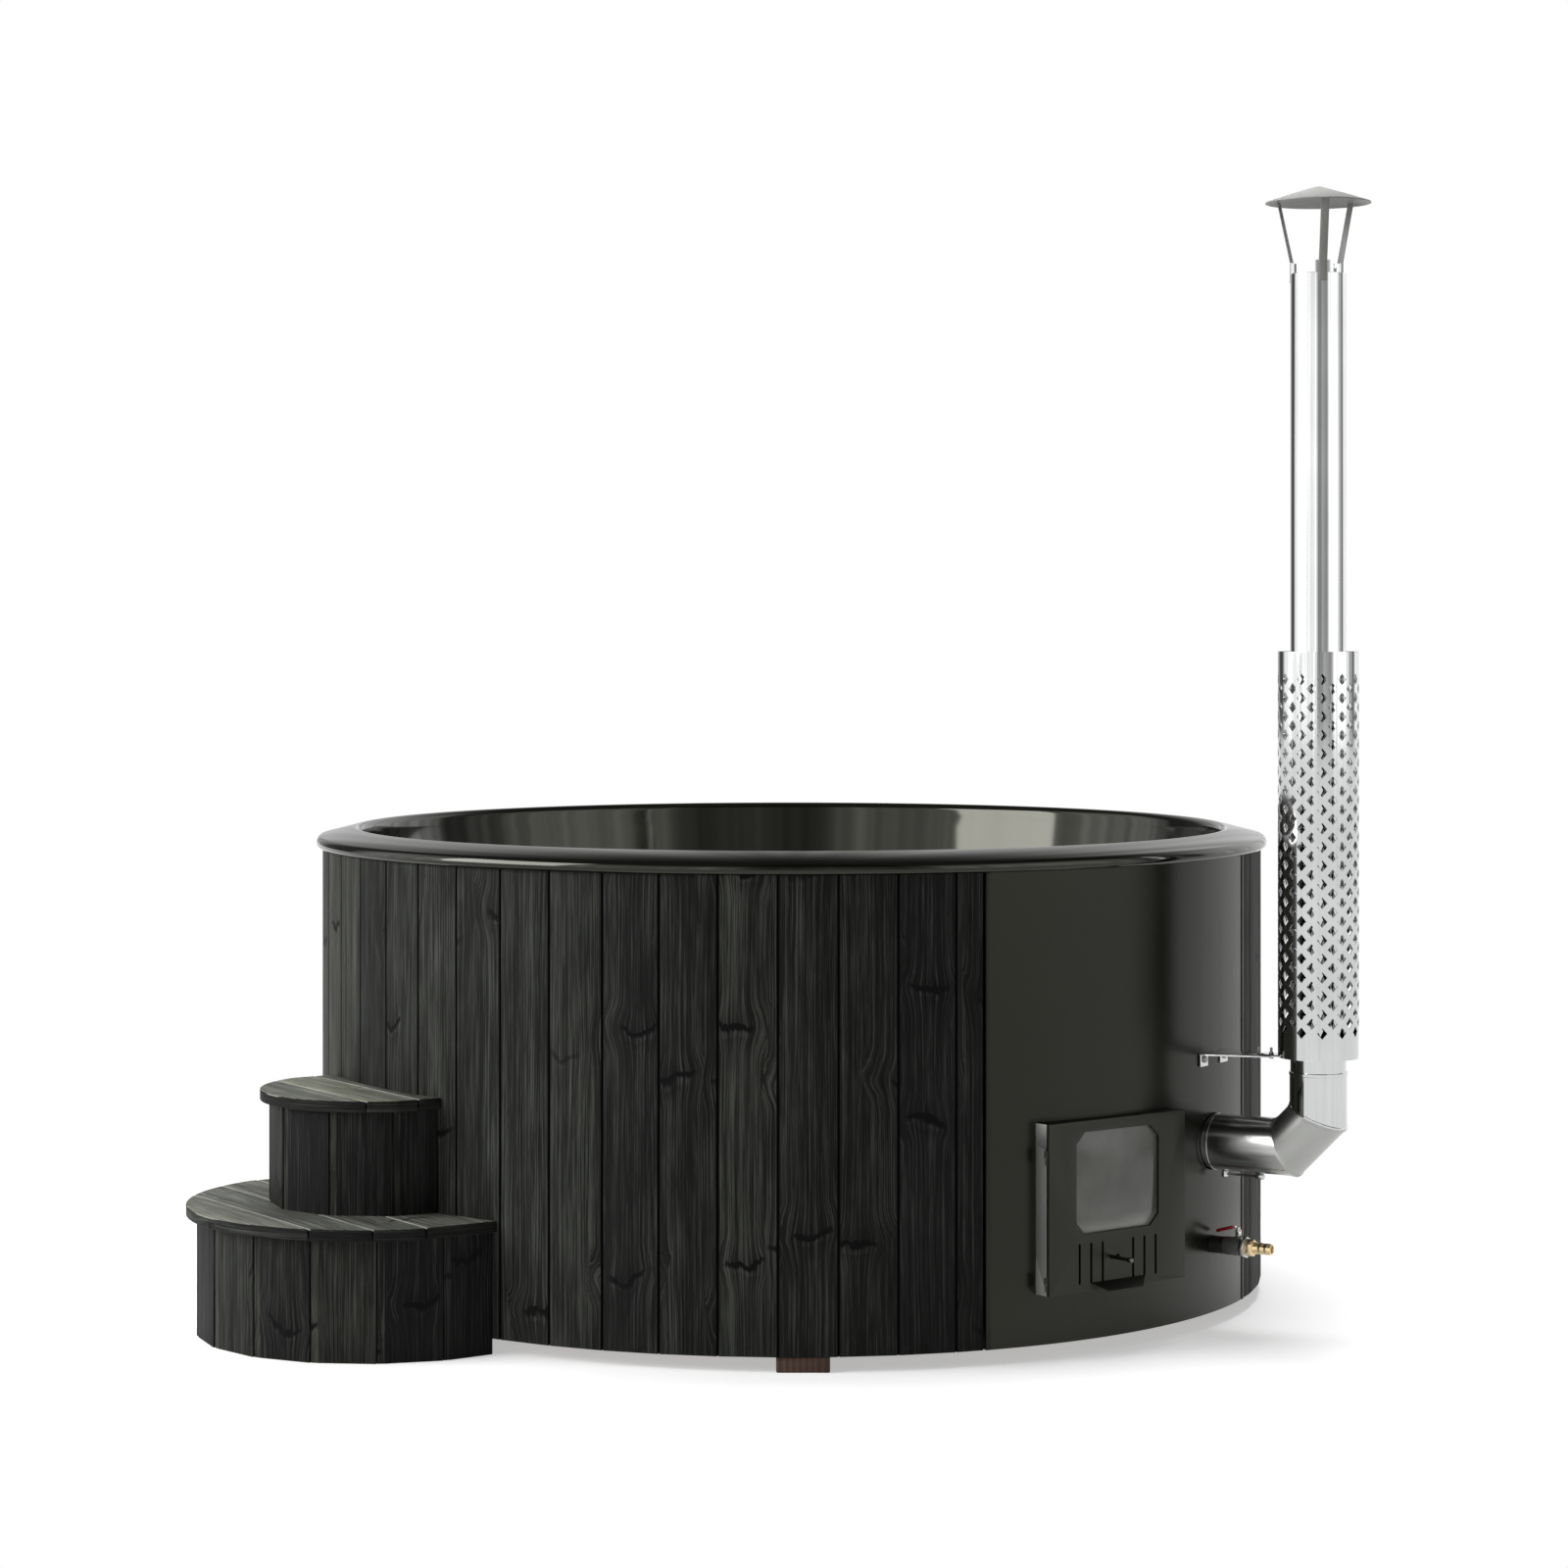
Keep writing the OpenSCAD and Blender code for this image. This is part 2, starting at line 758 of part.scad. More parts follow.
module heater_front() {
    color("#8d8f90") at_phi(door_phi) difference() {
        intersection() {
            stove_volume(0, front_x + front_t);
            block([front_x, -jacket_w, 0], [front_x + front_t, smoke_y + over, jacket_top]);
        }
        block([front_x - over, -throat_w / 2, deck_top + chamber_in + firebox_t + throat_lift],
            [front_x + front_t + over, throat_w / 2, door_top - flange_w - frame_t]);
        rotate([0, 0, stub_rel_phi]) translate([0, 0, flue_z])
            rod_x(pipe_d + 2 * fit, stub_start - 2 * over, stub_end);
    }
}

// Plate that sends the smoke round the back of the firebox
module smoke_baffle() {
    inner_in = chamber_in + firebox_t;
    y0 = jacket_w / 2 - inner_in - firebox_t;
    color("#5b5b5b") at_phi(door_phi)
        block([rear_x + inner_in + baffle_gap, y0, smoke_z + inner_in + fit],
            [front_x - fit, y0 + firebox_t, jacket_top - inner_in - fit]);
}

module fire_grate() {
    floor_z = deck_top + chamber_in + firebox_t;
    x0 = rear_x + chamber_in + firebox_t + over;
    bar_step = (grate_w - grate_bar_w) / (grate_bars - 1);
    color("#3a3a3a") at_phi(door_phi) {
        for (i = [0 : grate_bars - 1]) {
            y = -grate_w / 2 + i * bar_step;
            block([x0, y, floor_z + grate_lift],
                [x0 + grate_l, y + grate_bar_w, floor_z + grate_lift + grate_t]);
        }
        for (x = [x0, x0 + grate_l - grate_foot]) {
            block([x, -grate_w / 2, floor_z + grate_lift], [x + grate_foot, grate_w / 2,
                floor_z + grate_lift + grate_t]);
            for (y = [-grate_w / 2, grate_w / 2 - grate_foot])
                block([x, y, floor_z], [x + grate_foot, y + grate_foot, floor_z + grate_lift]);
        }
    }
}

// Loose tray for the ashes, below the grate
module ash_pan() {
    floor_z = deck_top + chamber_in + firebox_t;
    x0 = rear_x + chamber_in + firebox_t + over;
    half_pan = grate_w / 2 - pan_in;
    color("#707070") at_phi(door_phi) difference() {
        block([x0, -half_pan, floor_z], [x0 + grate_l, half_pan, floor_z + pan_h]);
        block([x0 + pan_t, -half_pan + pan_t, floor_z + pan_t],
            [x0 + grate_l - pan_t, half_pan - pan_t, floor_z + pan_h + over]);
    }
}

// Two pipes that join the jacket to the water in the foot well
module water_pipes() {
    color("#c4c6c7") at_phi(door_phi) for (z = [water_low, water_high])
        translate([0, 0, deck_top + z])
            tube_x(water_pipe_d, water_pipe_d - 2 * water_pipe_t, footwell_r - water_into,
                rear_x + jacket_t);
}

// Round slotted covers over the two pipe mouths
module water_grilles() {
    x1 = footwell_r - water_into;
    color("#202020") at_phi(door_phi) for (z = [water_low, water_high])
        translate([0, 0, deck_top + z]) difference() {
            rod_x(grille_d, x1 - grille_t, x1);
            for (i = [0 : grille_slots - 1]) {
                y = (i - (grille_slots - 1) / 2) * grille_pitch;
                l = sqrt(pow(water_pipe_d / 2, 2) - pow(y, 2) / 2);
                block([x1 - grille_t - over, y - grille_slot / 2, -l / 2],
                    [x1 + over, y + grille_slot / 2, l / 2]);
            }
        }
}

// Hinge

// Stacks of one fixed and one moving barrel; side 0 is fixed, side 1 moves with the door
module barrels(side, d) {
    for (z = hinge_zs) translate([hinge_x, hinge_y, z + side * barrel_h])
        cylinder(h = barrel_h, d = d, $fn = 48);
}

// Room that one side leaves round the other side's barrels
module barrel_room(side) {
    for (z = hinge_zs) translate([hinge_x, hinge_y, z + side * barrel_h - barrel_play * side])
        cylinder(h = barrel_h + barrel_play, d = barrel_d + 2 * barrel_play, $fn = 48);
}

module door_frame() {
    x0 = front_x + front_t;
    color("#1d1d1d") at_phi(door_phi) difference() {
        union() {
            difference() {
                block([x0, -half_w, door_z], [frame_x, half_w, door_top]);
                block([x0 - over, -half_w + frame_t, door_z + frame_t],
                    [frame_x - flange_t, half_w - frame_t, door_top - frame_t]);
                block([x0, -half_w + flange_w, door_z + flange_w],
                    [frame_x + over, half_w - flange_w, door_top - flange_w]);
            }
            difference() {
                union() {
                    barrels(0, barrel_d);
                    for (z = hinge_zs) block([hinge_x - barrel_d / 2, hinge_y, z],
                        [frame_x, hinge_y + leaf_w, z + barrel_h]);
                }
                block([frame_x, hinge_y + barrel_d / 2, door_z], [door_x, half_w, door_top]);
            }
        }
        barrel_room(1);
        for (z = hinge_zs) translate([hinge_x, hinge_y, z - over])
            cylinder(h = 2 * barrel_h + 2 * over, d = hinge_pin_d + 2 * play, $fn = 48);
    }
}

module hinge_pins() {
    color("#d8d9da") at_phi(door_phi) for (z = hinge_zs) translate([hinge_x, hinge_y, z])
        cylinder(h = 2 * barrel_h, d = hinge_pin_d, $fn = 48);
}

// Door

module air_slots(x0, x1) {
    for (side = [-1, 1]) for (i = slot_steps) {
        y = side * (slot_first + i * slot_pitch);
        block([x0, y - slot_w / 2, slot_z + slot_w / 2], [x1, y + slot_w / 2, slot_z + slot_h - slot_w / 2]);
        for (z = [slot_z + slot_w / 2, slot_z + slot_h - slot_w / 2])
            translate([0, y, z]) rod_x(slot_w, x0, x1, $fn = 24);
    }
}

// Prism with the window's outline, grown by a margin all round
module window_prism(margin, x0, x1) {
    translate([x0, 0, window_z + window_h / 2]) rotate([90, 0, 90]) linear_extrude(x1 - x0)
        polygon(cut_rectangle(window_w + 2 * margin, window_h + 2 * margin, window_cut));
}

module door_plate() {
    color("#191919") at_phi(door_phi) difference() {
        union() {
            difference() {
                block([door_x, -half_w, door_z], [door_x + door_t, half_w, door_top]);
                window_prism(0, door_x - over, door_x + door_t + over);
                air_slots(door_x - over, door_x + door_t + over);
                block([door_x - over, knob_y - knob_d / 2 - fit, knob_z - knob_d / 2 - fit],
                    [door_x + door_t + over, knob_y + slide_travel + knob_d / 2 + fit,
                        knob_z + knob_d / 2 + fit]);
            }
            barrels(1, barrel_d);
            for (z = hinge_zs) block([door_x, hinge_y, z + barrel_h],
                [hinge_x + barrel_d / 2, hinge_y + leaf_w, z + 2 * barrel_h]);
        }
        barrel_room(0);
        for (z = hinge_zs) translate([hinge_x, hinge_y, z - over])
            cylinder(h = 2 * barrel_h + 2 * over, d = hinge_pin_d + 2 * play, $fn = 48);
    }
}

module door_glass() {
    color("#8a8d8a") at_phi(door_phi)
        window_prism(pane_over, door_x - fit - glass_t, door_x - fit);
}

// Four clips that hold the glass against the door from behind
module glass_clips() {
    edge = window_w / 2 + pane_over + fit;
    x0 = door_x - fit - glass_t - fit - clip_t;
    color("#9a9c9c") at_phi(door_phi)
        for (side = [-1, 1]) for (z = [window_z + window_h / 4, window_z + 3 * window_h / 4]) {
            y0 = side > 0 ? edge : -edge - clip_l / 2;
            y1 = side > 0 ? edge - clip_l / 2 : -edge;
            block([x0, y0, z - clip_w / 2], [door_x, y0 + clip_l / 2, z + clip_w / 2]);
            block([x0, y1, z - clip_w / 2], [x0 + clip_t, y1 + clip_l / 2, z + clip_w / 2]);
        }
}

module door_gasket() {
    o = gasket_in;
    i = gasket_in + gasket_w;
    color("#c9c4b4") at_phi(door_phi) difference() {
        block([frame_x + fit, -half_w + o, door_z + o / 2], [door_x, half_w - o, door_top - o]);
        block([frame_x - over, -half_w + i, door_z + i - o / 2], [door_x + over, half_w - i, door_top - i]);
    }
}

module slider_rails() {
    x0 = slider_x - fit - rail_lip;
    y0 = -slider_w / 2 - over;
    color("#2b2b2b") at_phi(door_phi) {
        block([x0, y0, slider_high + fit], [door_x, y0 + rail_l, slider_high + fit + rail_t]);
        block([x0, y0, slider_high - rail_hold], [x0 + rail_lip, y0 + rail_l, slider_high + fit + rail_t]);
        block([x0, y0, slider_low - fit - rail_lip], [door_x, y0 + rail_l, slider_low - fit]);
        block([x0, y0, slider_low - fit - rail_lip], [x0 + rail_lip, y0 + rail_l, slider_low + rail_hold]);
    }
}

// Slanted sheet lip below the air slots, narrower at its outer edge
module pull_lip() {
    x0 = door_x + door_t;
    x1 = x0 + lip_d;
    color("#151515") at_phi(door_phi) intersection() {
        translate([0, 0, lip_z - lip_drop - 2 * lip_t]) linear_extrude(lip_drop + 4 * lip_t) polygon([
            [x0, -lip_w / 2], [x1, -lip_tip_w / 2], [x1, lip_tip_w / 2], [x0, lip_w / 2]
        ]);
        translate([0, lip_w / 2 + over, 0]) rotate([90, 0, 0]) linear_extrude(lip_w + 2 * over) polygon([
            [x0, lip_z - lip_t], [x1, lip_z - lip_drop - lip_t], [x1, lip_z - lip_drop], [x0, lip_z]
        ]);
    }
}

module air_slider() {
    color("#1a1a1a") at_phi(door_phi) {
        difference() {
            block([slider_x, -slider_w / 2, slider_low], [slider_x + slider_t, slider_w / 2, slider_high]);
            air_slots(slider_x - over, slider_x + slider_t + over);
        }
        translate([0, knob_y, knob_z])
            rod_x(knob_d, slider_x + slider_t, door_x + door_t + knob_l - knob_tip_l, $fn = 48);
    }
}

module knob_tip() {
    x1 = door_x + door_t + knob_l;
    color("#e2e2e2") at_phi(door_phi) translate([0, knob_y, knob_z])
        rod_x(knob_tip_d, x1 - knob_tip_l, x1, $fn = 48);
}

// Flue and chimney

module flue_stub() {
    color("#a9abac") at_phi(flue_phi) translate([0, 0, flue_z]) difference() {
        tube_x(pipe_d, pipe_d - 2 * pipe_t, stub_start, stub_end);
        translate([damper_x, 0, -pipe_d]) cylinder(h = 2 * pipe_d, d = spindle_d + 2 * play, $fn = 48);
    }
}

// Solid of the elbow at a diameter: two mitre joints turn it from level to upright
module elbow_solid(d, start, top) {
    r = d;
    a = 45 / 2;
    intersection() {
        translate([0, 0, flue_z]) rod_x(d, start, chimney_x);
        translate([first_mitre_x, 0, flue_z]) rotate([0, -a, 0]) block([-3 * r, -r, -2 * r], [0, r, 2 * r]);
    }
    intersection() {
        translate([first_mitre_x, 0, flue_z]) rotate([0, -45, 0]) rod_x(d, -r, leg_rise * sqrt(2) + r);
        translate([first_mitre_x, 0, flue_z]) rotate([0, -a, 0]) block([0, -r, -2 * r], [4 * r, r, 2 * r]);
        translate([chimney_x, 0, second_mitre_z]) rotate([0, -3 * a, 0])
            block([-4 * r, -r, -2 * r], [0, r, 2 * r]);
    }
    intersection() {
        translate([chimney_x, 0, second_mitre_z - r]) cylinder(h = top - second_mitre_z + r, d = d);
        translate([chimney_x, 0, second_mitre_z]) rotate([0, -3 * a, 0])
            block([0, -r, -2 * r], [4 * r, r, 2 * r]);
    }
}

module flue_elbow() {
    color("#b4b6b6") at_phi(flue_phi) difference() {
        elbow_solid(elbow_d, tub_r + elbow_start, elbow_top);
        elbow_solid(sleeve_id, tub_r + elbow_start - over, elbow_top + over);
        translate([damper_x, 0, flue_z - pipe_d]) cylinder(h = pipe_d, d = spindle_d + 2 * play, $fn = 48);
    }
}

module damper_plate() {
    r = pipe_d / 2 - pipe_t;
    color("#7b7d7e") at_phi(flue_phi) translate([damper_x, 0, flue_z]) {
        rotate([90, 0, 0]) translate([0, 0, -damper_t / 2])
            cylinder(h = damper_t, r = r - damper_gap);
        translate([0, 0, -elbow_d / 2 - spindle_drop])
            cylinder(h = elbow_d / 2 + spindle_drop + r + pipe_t, d = spindle_d, $fn = 48);
    }
}

// Handle below the flue: a collar on the spindle, a rod and a bright end
module damper_handle() {
    top = -elbow_d / 2 - collar_gap;
    color("#c9cbcb") at_phi(flue_phi) translate([damper_x, 0, flue_z + top - collar_h]) difference() {
        union() {
            cylinder(h = collar_h, d = collar_d, $fn = 48);
            translate([0, 0, collar_h / 2]) rod_x(handle_d, 0, handle_l + over, $fn = 32);
            translate([0, 0, collar_h / 2]) rod_x(grip_knob_d, handle_l, handle_l + grip_knob_l, $fn = 48);
        }
        translate([0, 0, -over]) cylinder(h = collar_h + 2 * over, d = spindle_d + 2 * play, $fn = 48);
    }
}

module at_chimney() {
    at_phi(flue_phi) translate([chimney_x, 0, 0]) children();
}

module chimney_pipe() {
    color("#d6d8d9") at_chimney() {
        tube(pipe_d, pipe_d - 2 * pipe_t, pipe_bottom, pipe_top);
        intersection() {
            tube(pipe_d, pipe_d - 2 * pipe_t, pipe_top, pipe_top + tab_h);
            for (phi = strap_phis) rotate([0, 0, phi])
                block([0, -tab_w / 2, pipe_top - over], [pipe_d, tab_w / 2, pipe_top + tab_h + over]);
        }
    }
}

// Upright diamond prism that goes through both walls of the guard
module diamond_prism() {
    rotate([90, 0, 90]) translate([0, 0, -guard_r - over]) linear_extrude(guard_d + 2 * over)
        polygon([[-diamond_w / 2, 0], [0, -diamond_h / 2], [diamond_w / 2, 0], [0, diamond_h / 2]]);
}

module heat_guard() {
    step = 360 / guard_count;
    color("#cfd1d2") at_chimney() difference() {
        tube(guard_d, guard_d - 2 * guard_t, guard_z, guard_z + guard_h);
        for (row = [0 : 2 * guard_rows - 2]) for (i = [0 : guard_count / 2 - 1])
            translate([0, 0, first_row_z + row * guard_pitch / 2])
                rotate([0, 0, i * step + (row % 2) * step / 2]) diamond_prism();
    }
}

// Folded strips that hold the guard away from the pipe
module guard_spacers() {
    color("#c0c2c3") at_chimney()
        for (z = [guard_z + spacer_in, guard_z + guard_h - spacer_in - spacer_h])
            for (phi = strap_phis) rotate([0, 0, phi])
                difference() {
                    block([0, -spacer_w / 2, z], [guard_r, spacer_w / 2, z + spacer_h]);
                    translate([0, 0, z - over]) cylinder(h = spacer_h + 2 * over, r = pipe_r + fit);
                    translate([0, 0, z - over]) difference() {
                        cylinder(h = spacer_h + 2 * over, r = guard_d);
                        translate([0, 0, -over])
                            cylinder(h = spacer_h + 4 * over, r = guard_r - guard_t - fit);
                    }
                }
}

// Arm on the panel, with two feet bent down
module bracket_arm() {
    color("#cdcfd0") at_phi(flue_phi) difference() {
        translate([0, 0, bracket_z - plate_t]) {
            linear_extrude(plate_t) polygon([
                [tub_r + fit, -arm_w / 2 - foot_w / 2], [tub_r + fit + arm_l, -arm_end_w / 2],
                [tub_r + fit + arm_l, arm_end_w / 2], [tub_r + fit, arm_w / 2 + foot_w / 2]
            ]);
            for (y = [-arm_w / 2, arm_w / 2])
                block([tub_r + fit, y - foot_w / 2, -tab_drop], [tub_r + fit + plate_t, y + foot_w / 2, 0]);
        }
        for (y = [-arm_w / 2, arm_w / 2]) translate([0, y, bracket_z - tab_drop / 2])
            rod_x(foot_bolt_d + 2 * fit, tub_r - over, tub_r + 4 * over, $fn = 48);
        for (x = arm_bolts) translate([tub_r + x, 0, bracket_z - 2 * plate_t])
            cylinder(h = 4 * plate_t, d = arm_bolt_d + 2 * fit, $fn = 32);
    }
}

// Plate with the ring round the pipe, on top of the arm
module bracket_ring() {
    color("#d5d7d8") at_phi(flue_phi) difference() {
        union() {
            translate([chimney_x, 0, bracket_z]) cylinder(h = plate_t, d = ring_d);
            block([chimney_x - ring_d / 2 - slide_l / 2, -slide_w / 2, bracket_z],
                [chimney_x, slide_w / 2, bracket_z + plate_t]);
        }
        translate([chimney_x, 0, bracket_z - over]) cylinder(h = plate_t + 2 * over, d = pipe_d + 2 * fit);
        for (x = arm_bolts) translate([tub_r + x, 0, bracket_z - over])
            cylinder(h = plate_t + 2 * over, d = arm_bolt_d + 2 * fit, $fn = 32);
    }
}

module bracket_bolts() {
    color("#8f9192") at_phi(flue_phi) {
        for (x = arm_bolts) translate([tub_r + x, 0, 0]) {
            translate([0, 0, bracket_z - plate_t - bolt_head_h])
                cylinder(h = bolt_head_h, d = bolt_head_d, $fn = 6);
            translate([0, 0, bracket_z - plate_t])
                cylinder(h = 2 * plate_t + arm_bolt_h, d = arm_bolt_d, $fn = 32);
            translate([0, 0, bracket_z + plate_t]) cylinder(h = bolt_head_h, d = bolt_head_d, $fn = 6);
        }
        for (y = [-arm_w / 2, arm_w / 2]) translate([0, y, bracket_z - tab_drop / 2]) {
            x0 = tub_r + fit + plate_t;
            rod_x(foot_bolt_d, batten_r - board_t, x0, $fn = 32);
            rod_x(foot_bolt_head_d, x0, x0 + foot_bolt_head_h, $fn = 6);
        }
    }
}

// Underside of the rain cap and everything above it
module above_cap(gap) {
    slope = cap_h / (cap_d / 2 - cap_tip_r);
    r = cap_d / 2 + over;
    rotate_extrude() polygon([
        [0, cap_z + cap_h - cap_t - gap + slope * cap_tip_r],
        [r, cap_z + cap_h - cap_t - gap - slope * (r - cap_tip_r)],
        [r, cap_z + 2 * cap_h], [0, cap_z + 2 * cap_h]
    ]);
}

module cap_straps() {
    color("#a0a2a2") at_chimney() difference() {
        for (phi = strap_phis) rotate([0, 0, phi]) translate([0, strap_w / 2, 0])
            rotate([90, 0, 0]) linear_extrude(strap_w) polygon([
                [pipe_r + fit, pipe_top - strap_low], [pipe_r + fit + strap_t, pipe_top - strap_low],
                [pipe_r + fit + strap_t, pipe_top + tab_h], [strap_out_r + strap_t, cap_z + cap_h],
                [strap_out_r, cap_z + cap_h], [pipe_r + fit, pipe_top + tab_h + strap_t]
            ]);
        above_cap(fit);
        cylinder(h = pipe_top + 2 * tab_h, r = pipe_r + fit);
    }
}

module rain_cap() {
    r = cap_d / 2;
    slope = cap_h / (r - cap_tip_r);
    color("#8c8e8d") at_chimney() difference() {
        translate([0, 0, cap_z]) cylinder(h = cap_h, r1 = r, r2 = cap_tip_r);
        translate([0, 0, cap_z - over - cap_t])
            cylinder(h = cap_h + over, r1 = r + over / slope, r2 = cap_tip_r);
    }
}

// Drain

module drain_pipe() {
    color("#2a2a2a") at_phi(flue_phi) translate([0, 0, drain_z])
        tube_x(drain_d, drain_bore, drain_start, drain_end);
}

module drain_strainer() {
    color("#3a3a3a") at_phi(flue_phi) translate([0, 0, drain_z]) difference() {
        rod_x(strainer_d, strainer_x, drain_start + strainer_skirt);
        rod_x(drain_d + 2 * fit, drain_start, footwell_r + over);
        for (i = [-strainer_sides : strainer_sides]) {
            z = i * strainer_pitch;
            l = sqrt(pow(drain_bore / 2, 2) - pow(z, 2));
            block([strainer_x - over, -l, z - strainer_slot / 2],
                [drain_start + over, l, z + strainer_slot / 2]);
        }
    }
}

// Water way through the valve: the bore and the ball's seat
module valve_inside() {
    rod_x(valve_bore, drain_end - over, valve_end + over);
    translate([valve_x, 0, 0]) sphere(r = ball_r + ball_gap);
}

module valve_body() {
    color("#4b4c4b") at_phi(flue_phi) translate([0, 0, drain_z]) difference() {
        union() {
            rod_x(valve_d, drain_end, valve_end - nut_l);
            translate([valve_x, 0, 0]) cylinder(h = pad_h, d = pad_d, $fn = 48);
        }
        valve_inside();
        translate([valve_x, 0, 0]) cylinder(h = pad_h + over, d = stem_d + 2 * play, $fn = 48);
    }
}

module valve_nut() {
    color("#d5d6d4") at_phi(flue_phi) translate([0, 0, drain_z]) difference() {
        rod_x(nut_d, valve_end - nut_l, valve_end, $fn = 8);
        valve_inside();
        translate([valve_x, 0, 0]) cylinder(h = nut_d, d = pad_d + 2 * fit, $fn = 48);
    }
}

module stem_gland() {
    color("#d2d2d0") at_phi(flue_phi) translate([valve_x, 0, drain_z + pad_h]) difference() {
        cylinder(h = gland_h, d = gland_d, $fn = 6);
        translate([0, 0, -over]) cylinder(h = gland_h + 2 * over, d = stem_d + 2 * play, $fn = 48);
    }
}

// Ball with its stem
module valve_ball() {
    color("#c8c9c9") at_phi(flue_phi) translate([valve_x, 0, drain_z]) difference() {
        union() {
            sphere(r = ball_r);
            cylinder(h = stem_top, d = stem_d, $fn = 48);
        }
        rod_x(valve_bore, -2 * ball_r, 2 * ball_r);
    }
}

// Bent strip: it rises beside the stem and then slopes down
module valve_lever() {
    z0 = pad_h + gland_h + fit;
    along = [-cos(lever_dip), -sin(lever_dip)];
    up = [-sin(lever_dip), cos(lever_dip)];
    bend = [-lever_bend, lever_rise];
    color("#cfd0ce") at_phi(flue_phi) translate([valve_x, 0, drain_z + z0]) difference() {
        union() {
            cylinder(h = lever_t, d = lever_hub_d, $fn = 48);
            translate([0, lever_w / 2, 0]) rotate([90, 0, 0]) linear_extrude(lever_w) polygon([
                [0, 0], bend, bend + lever_l * along, bend + lever_l * along + lever_t * up,
                bend + lever_t * up, [0, lever_t]
            ]);
        }
        translate([0, 0, -over]) cylinder(h = lever_rise + 2 * over, d = stem_d + 2 * play, $fn = 48);
    }
}

module lever_grip() {
    z0 = pad_h + gland_h + fit;
    mid = lever_t / 2;
    color("#c8202a") at_phi(flue_phi)
        translate([valve_x - lever_bend, 0, drain_z + z0 + lever_rise]) rotate([0, -lever_dip, 0])
            difference() {
                translate([-grip_gap - grip_l, 0, mid]) rotate([0, 90, 0]) linear_extrude(grip_l)
                    polygon(cut_rectangle(grip_t, grip_w, grip_t / 4));
                block([-lever_l - fit, -lever_w / 2 - fit / 2, -fit / 2],
                    [over, lever_w / 2 + fit / 2, lever_t + fit / 2]);
            }
}

// Hose tail: a hexagon and three barbs with short round lands, bored through
module hose_tail() {
    r = hose_d / 2;
    neck = r - tail_neck / 2;
    barb_l = (tail_l - tail_hex_l) / barb_count;
    profile = concat(
        [[0, tail_hex_l - over], [neck, tail_hex_l - over]],
        [for (i = [0 : barb_count - 1]) for (p = [
            [neck, tail_hex_l + i * barb_l], [r, tail_hex_l + i * barb_l],
            [r, tail_hex_l + i * barb_l + barb_land]
        ]) p],
        [[neck, tail_l], [0, tail_l]]
    );
    color("#c9a45c") at_phi(flue_phi) translate([valve_end, 0, drain_z]) difference() {
        union() {
            rod_x(tail_hex_d, 0, tail_hex_l, $fn = 6);
            rotate([0, 90, 0]) rotate_extrude($fn = 64) polygon(profile);
        }
        rod_x(tail_bore, -over, tail_l + over, $fn = 48);
    }
}

// Steps

module at_steps() {
    at_phi(step_phi) children();
}

// Tread cut from planks that lie across the way up, hollowed where it meets the tub
module tread(r, half, top, plank, first_seam) {
    planks = round((r - first_seam) / plank);
    at_steps() difference() {
        intersection() {
            union() {
                translate([step_x, 0, top - tread_t]) cylinder(h = tread_t, r = r);
                block([step_x - step_back, -r, top - tread_t], [step_x, r, top]);
            }
            union() {
                block([0, -half, 0], [step_x + first_seam - step_gap, half, top + over]);
                for (k = [0 : planks - 1]) {
                    x1 = k < planks - 1 ? (k + 1) * plank - step_gap : r;
                    block([step_x + first_seam + k * plank, -half, 0],
                        [step_x + first_seam + x1, half, top + over]);
                }
            }
        }
        cylinder(h = top + over, r = tub_r + fit, $fn = 180);
    }
}

// Wall of flat boards round the steps' centre, cut off at the tub
module step_wall(r, count, angle, turn, z0, h) {
    half = angle / 2;
    at_steps() difference() {
        for (i = [0 : count - 1]) translate([step_x, 0, z0])
            rotate([0, 0, turn + (i + 1 / 2 - count / 2) * angle]) linear_extrude(h)
                polygon(board_section(r * cos(half), -half, half, step_board_t, step_gap, board_groove));
        cylinder(h = z0 + h + over, r = tub_r + fit, $fn = 180);
    }
}

// Bearers below a tread, each on two legs
module step_frame(r, count, angle, z0, z1, places) {
    inside = r * cos(angle / 2) - step_board_t - over;
    at_steps() for (y = places) {
        x0 = step_x + bearer_back;
        x1 = step_x + sqrt(pow(inside, 2) - pow(abs(y) + bearer_w / 2, 2)) - over;
        block([x0, y - bearer_w / 2, z1 - bearer_h], [x1, y + bearer_w / 2, z1]);
        for (x = [x0, x1 - bearer_w])
            block([x, y - bearer_w / 2, z0], [x + bearer_w, y + bearer_w / 2, z1 - bearer_h]);
    }
}

module lower_step_wall() {
    color("#262725") step_wall(low_wall_r, low_boards, low_pitch, 0, 0, low_wall_h);
}

module lower_step_frame() {
    color("#b8925f") step_frame(low_wall_r, low_boards, low_pitch, 0, low_wall_h, low_bearers);
}

module lower_tread() {
    color("#2b2c2a") tread(low_tread_r, low_half, low_z, low_plank, low_plank);
}

module upper_step_wall() {
    color("#262725") step_wall(up_wall_r, up_boards, up_pitch, up_turn, low_z, up_wall_h);
}

module upper_step_frame() {
    color("#b8925f") step_frame(up_wall_r, up_boards, up_pitch, low_z, low_z + up_wall_h, up_bearers);
}

module upper_tread() {
    color("#2b2c2a") tread(up_tread_r, up_half, up_z, up_plank, up_seam);
}

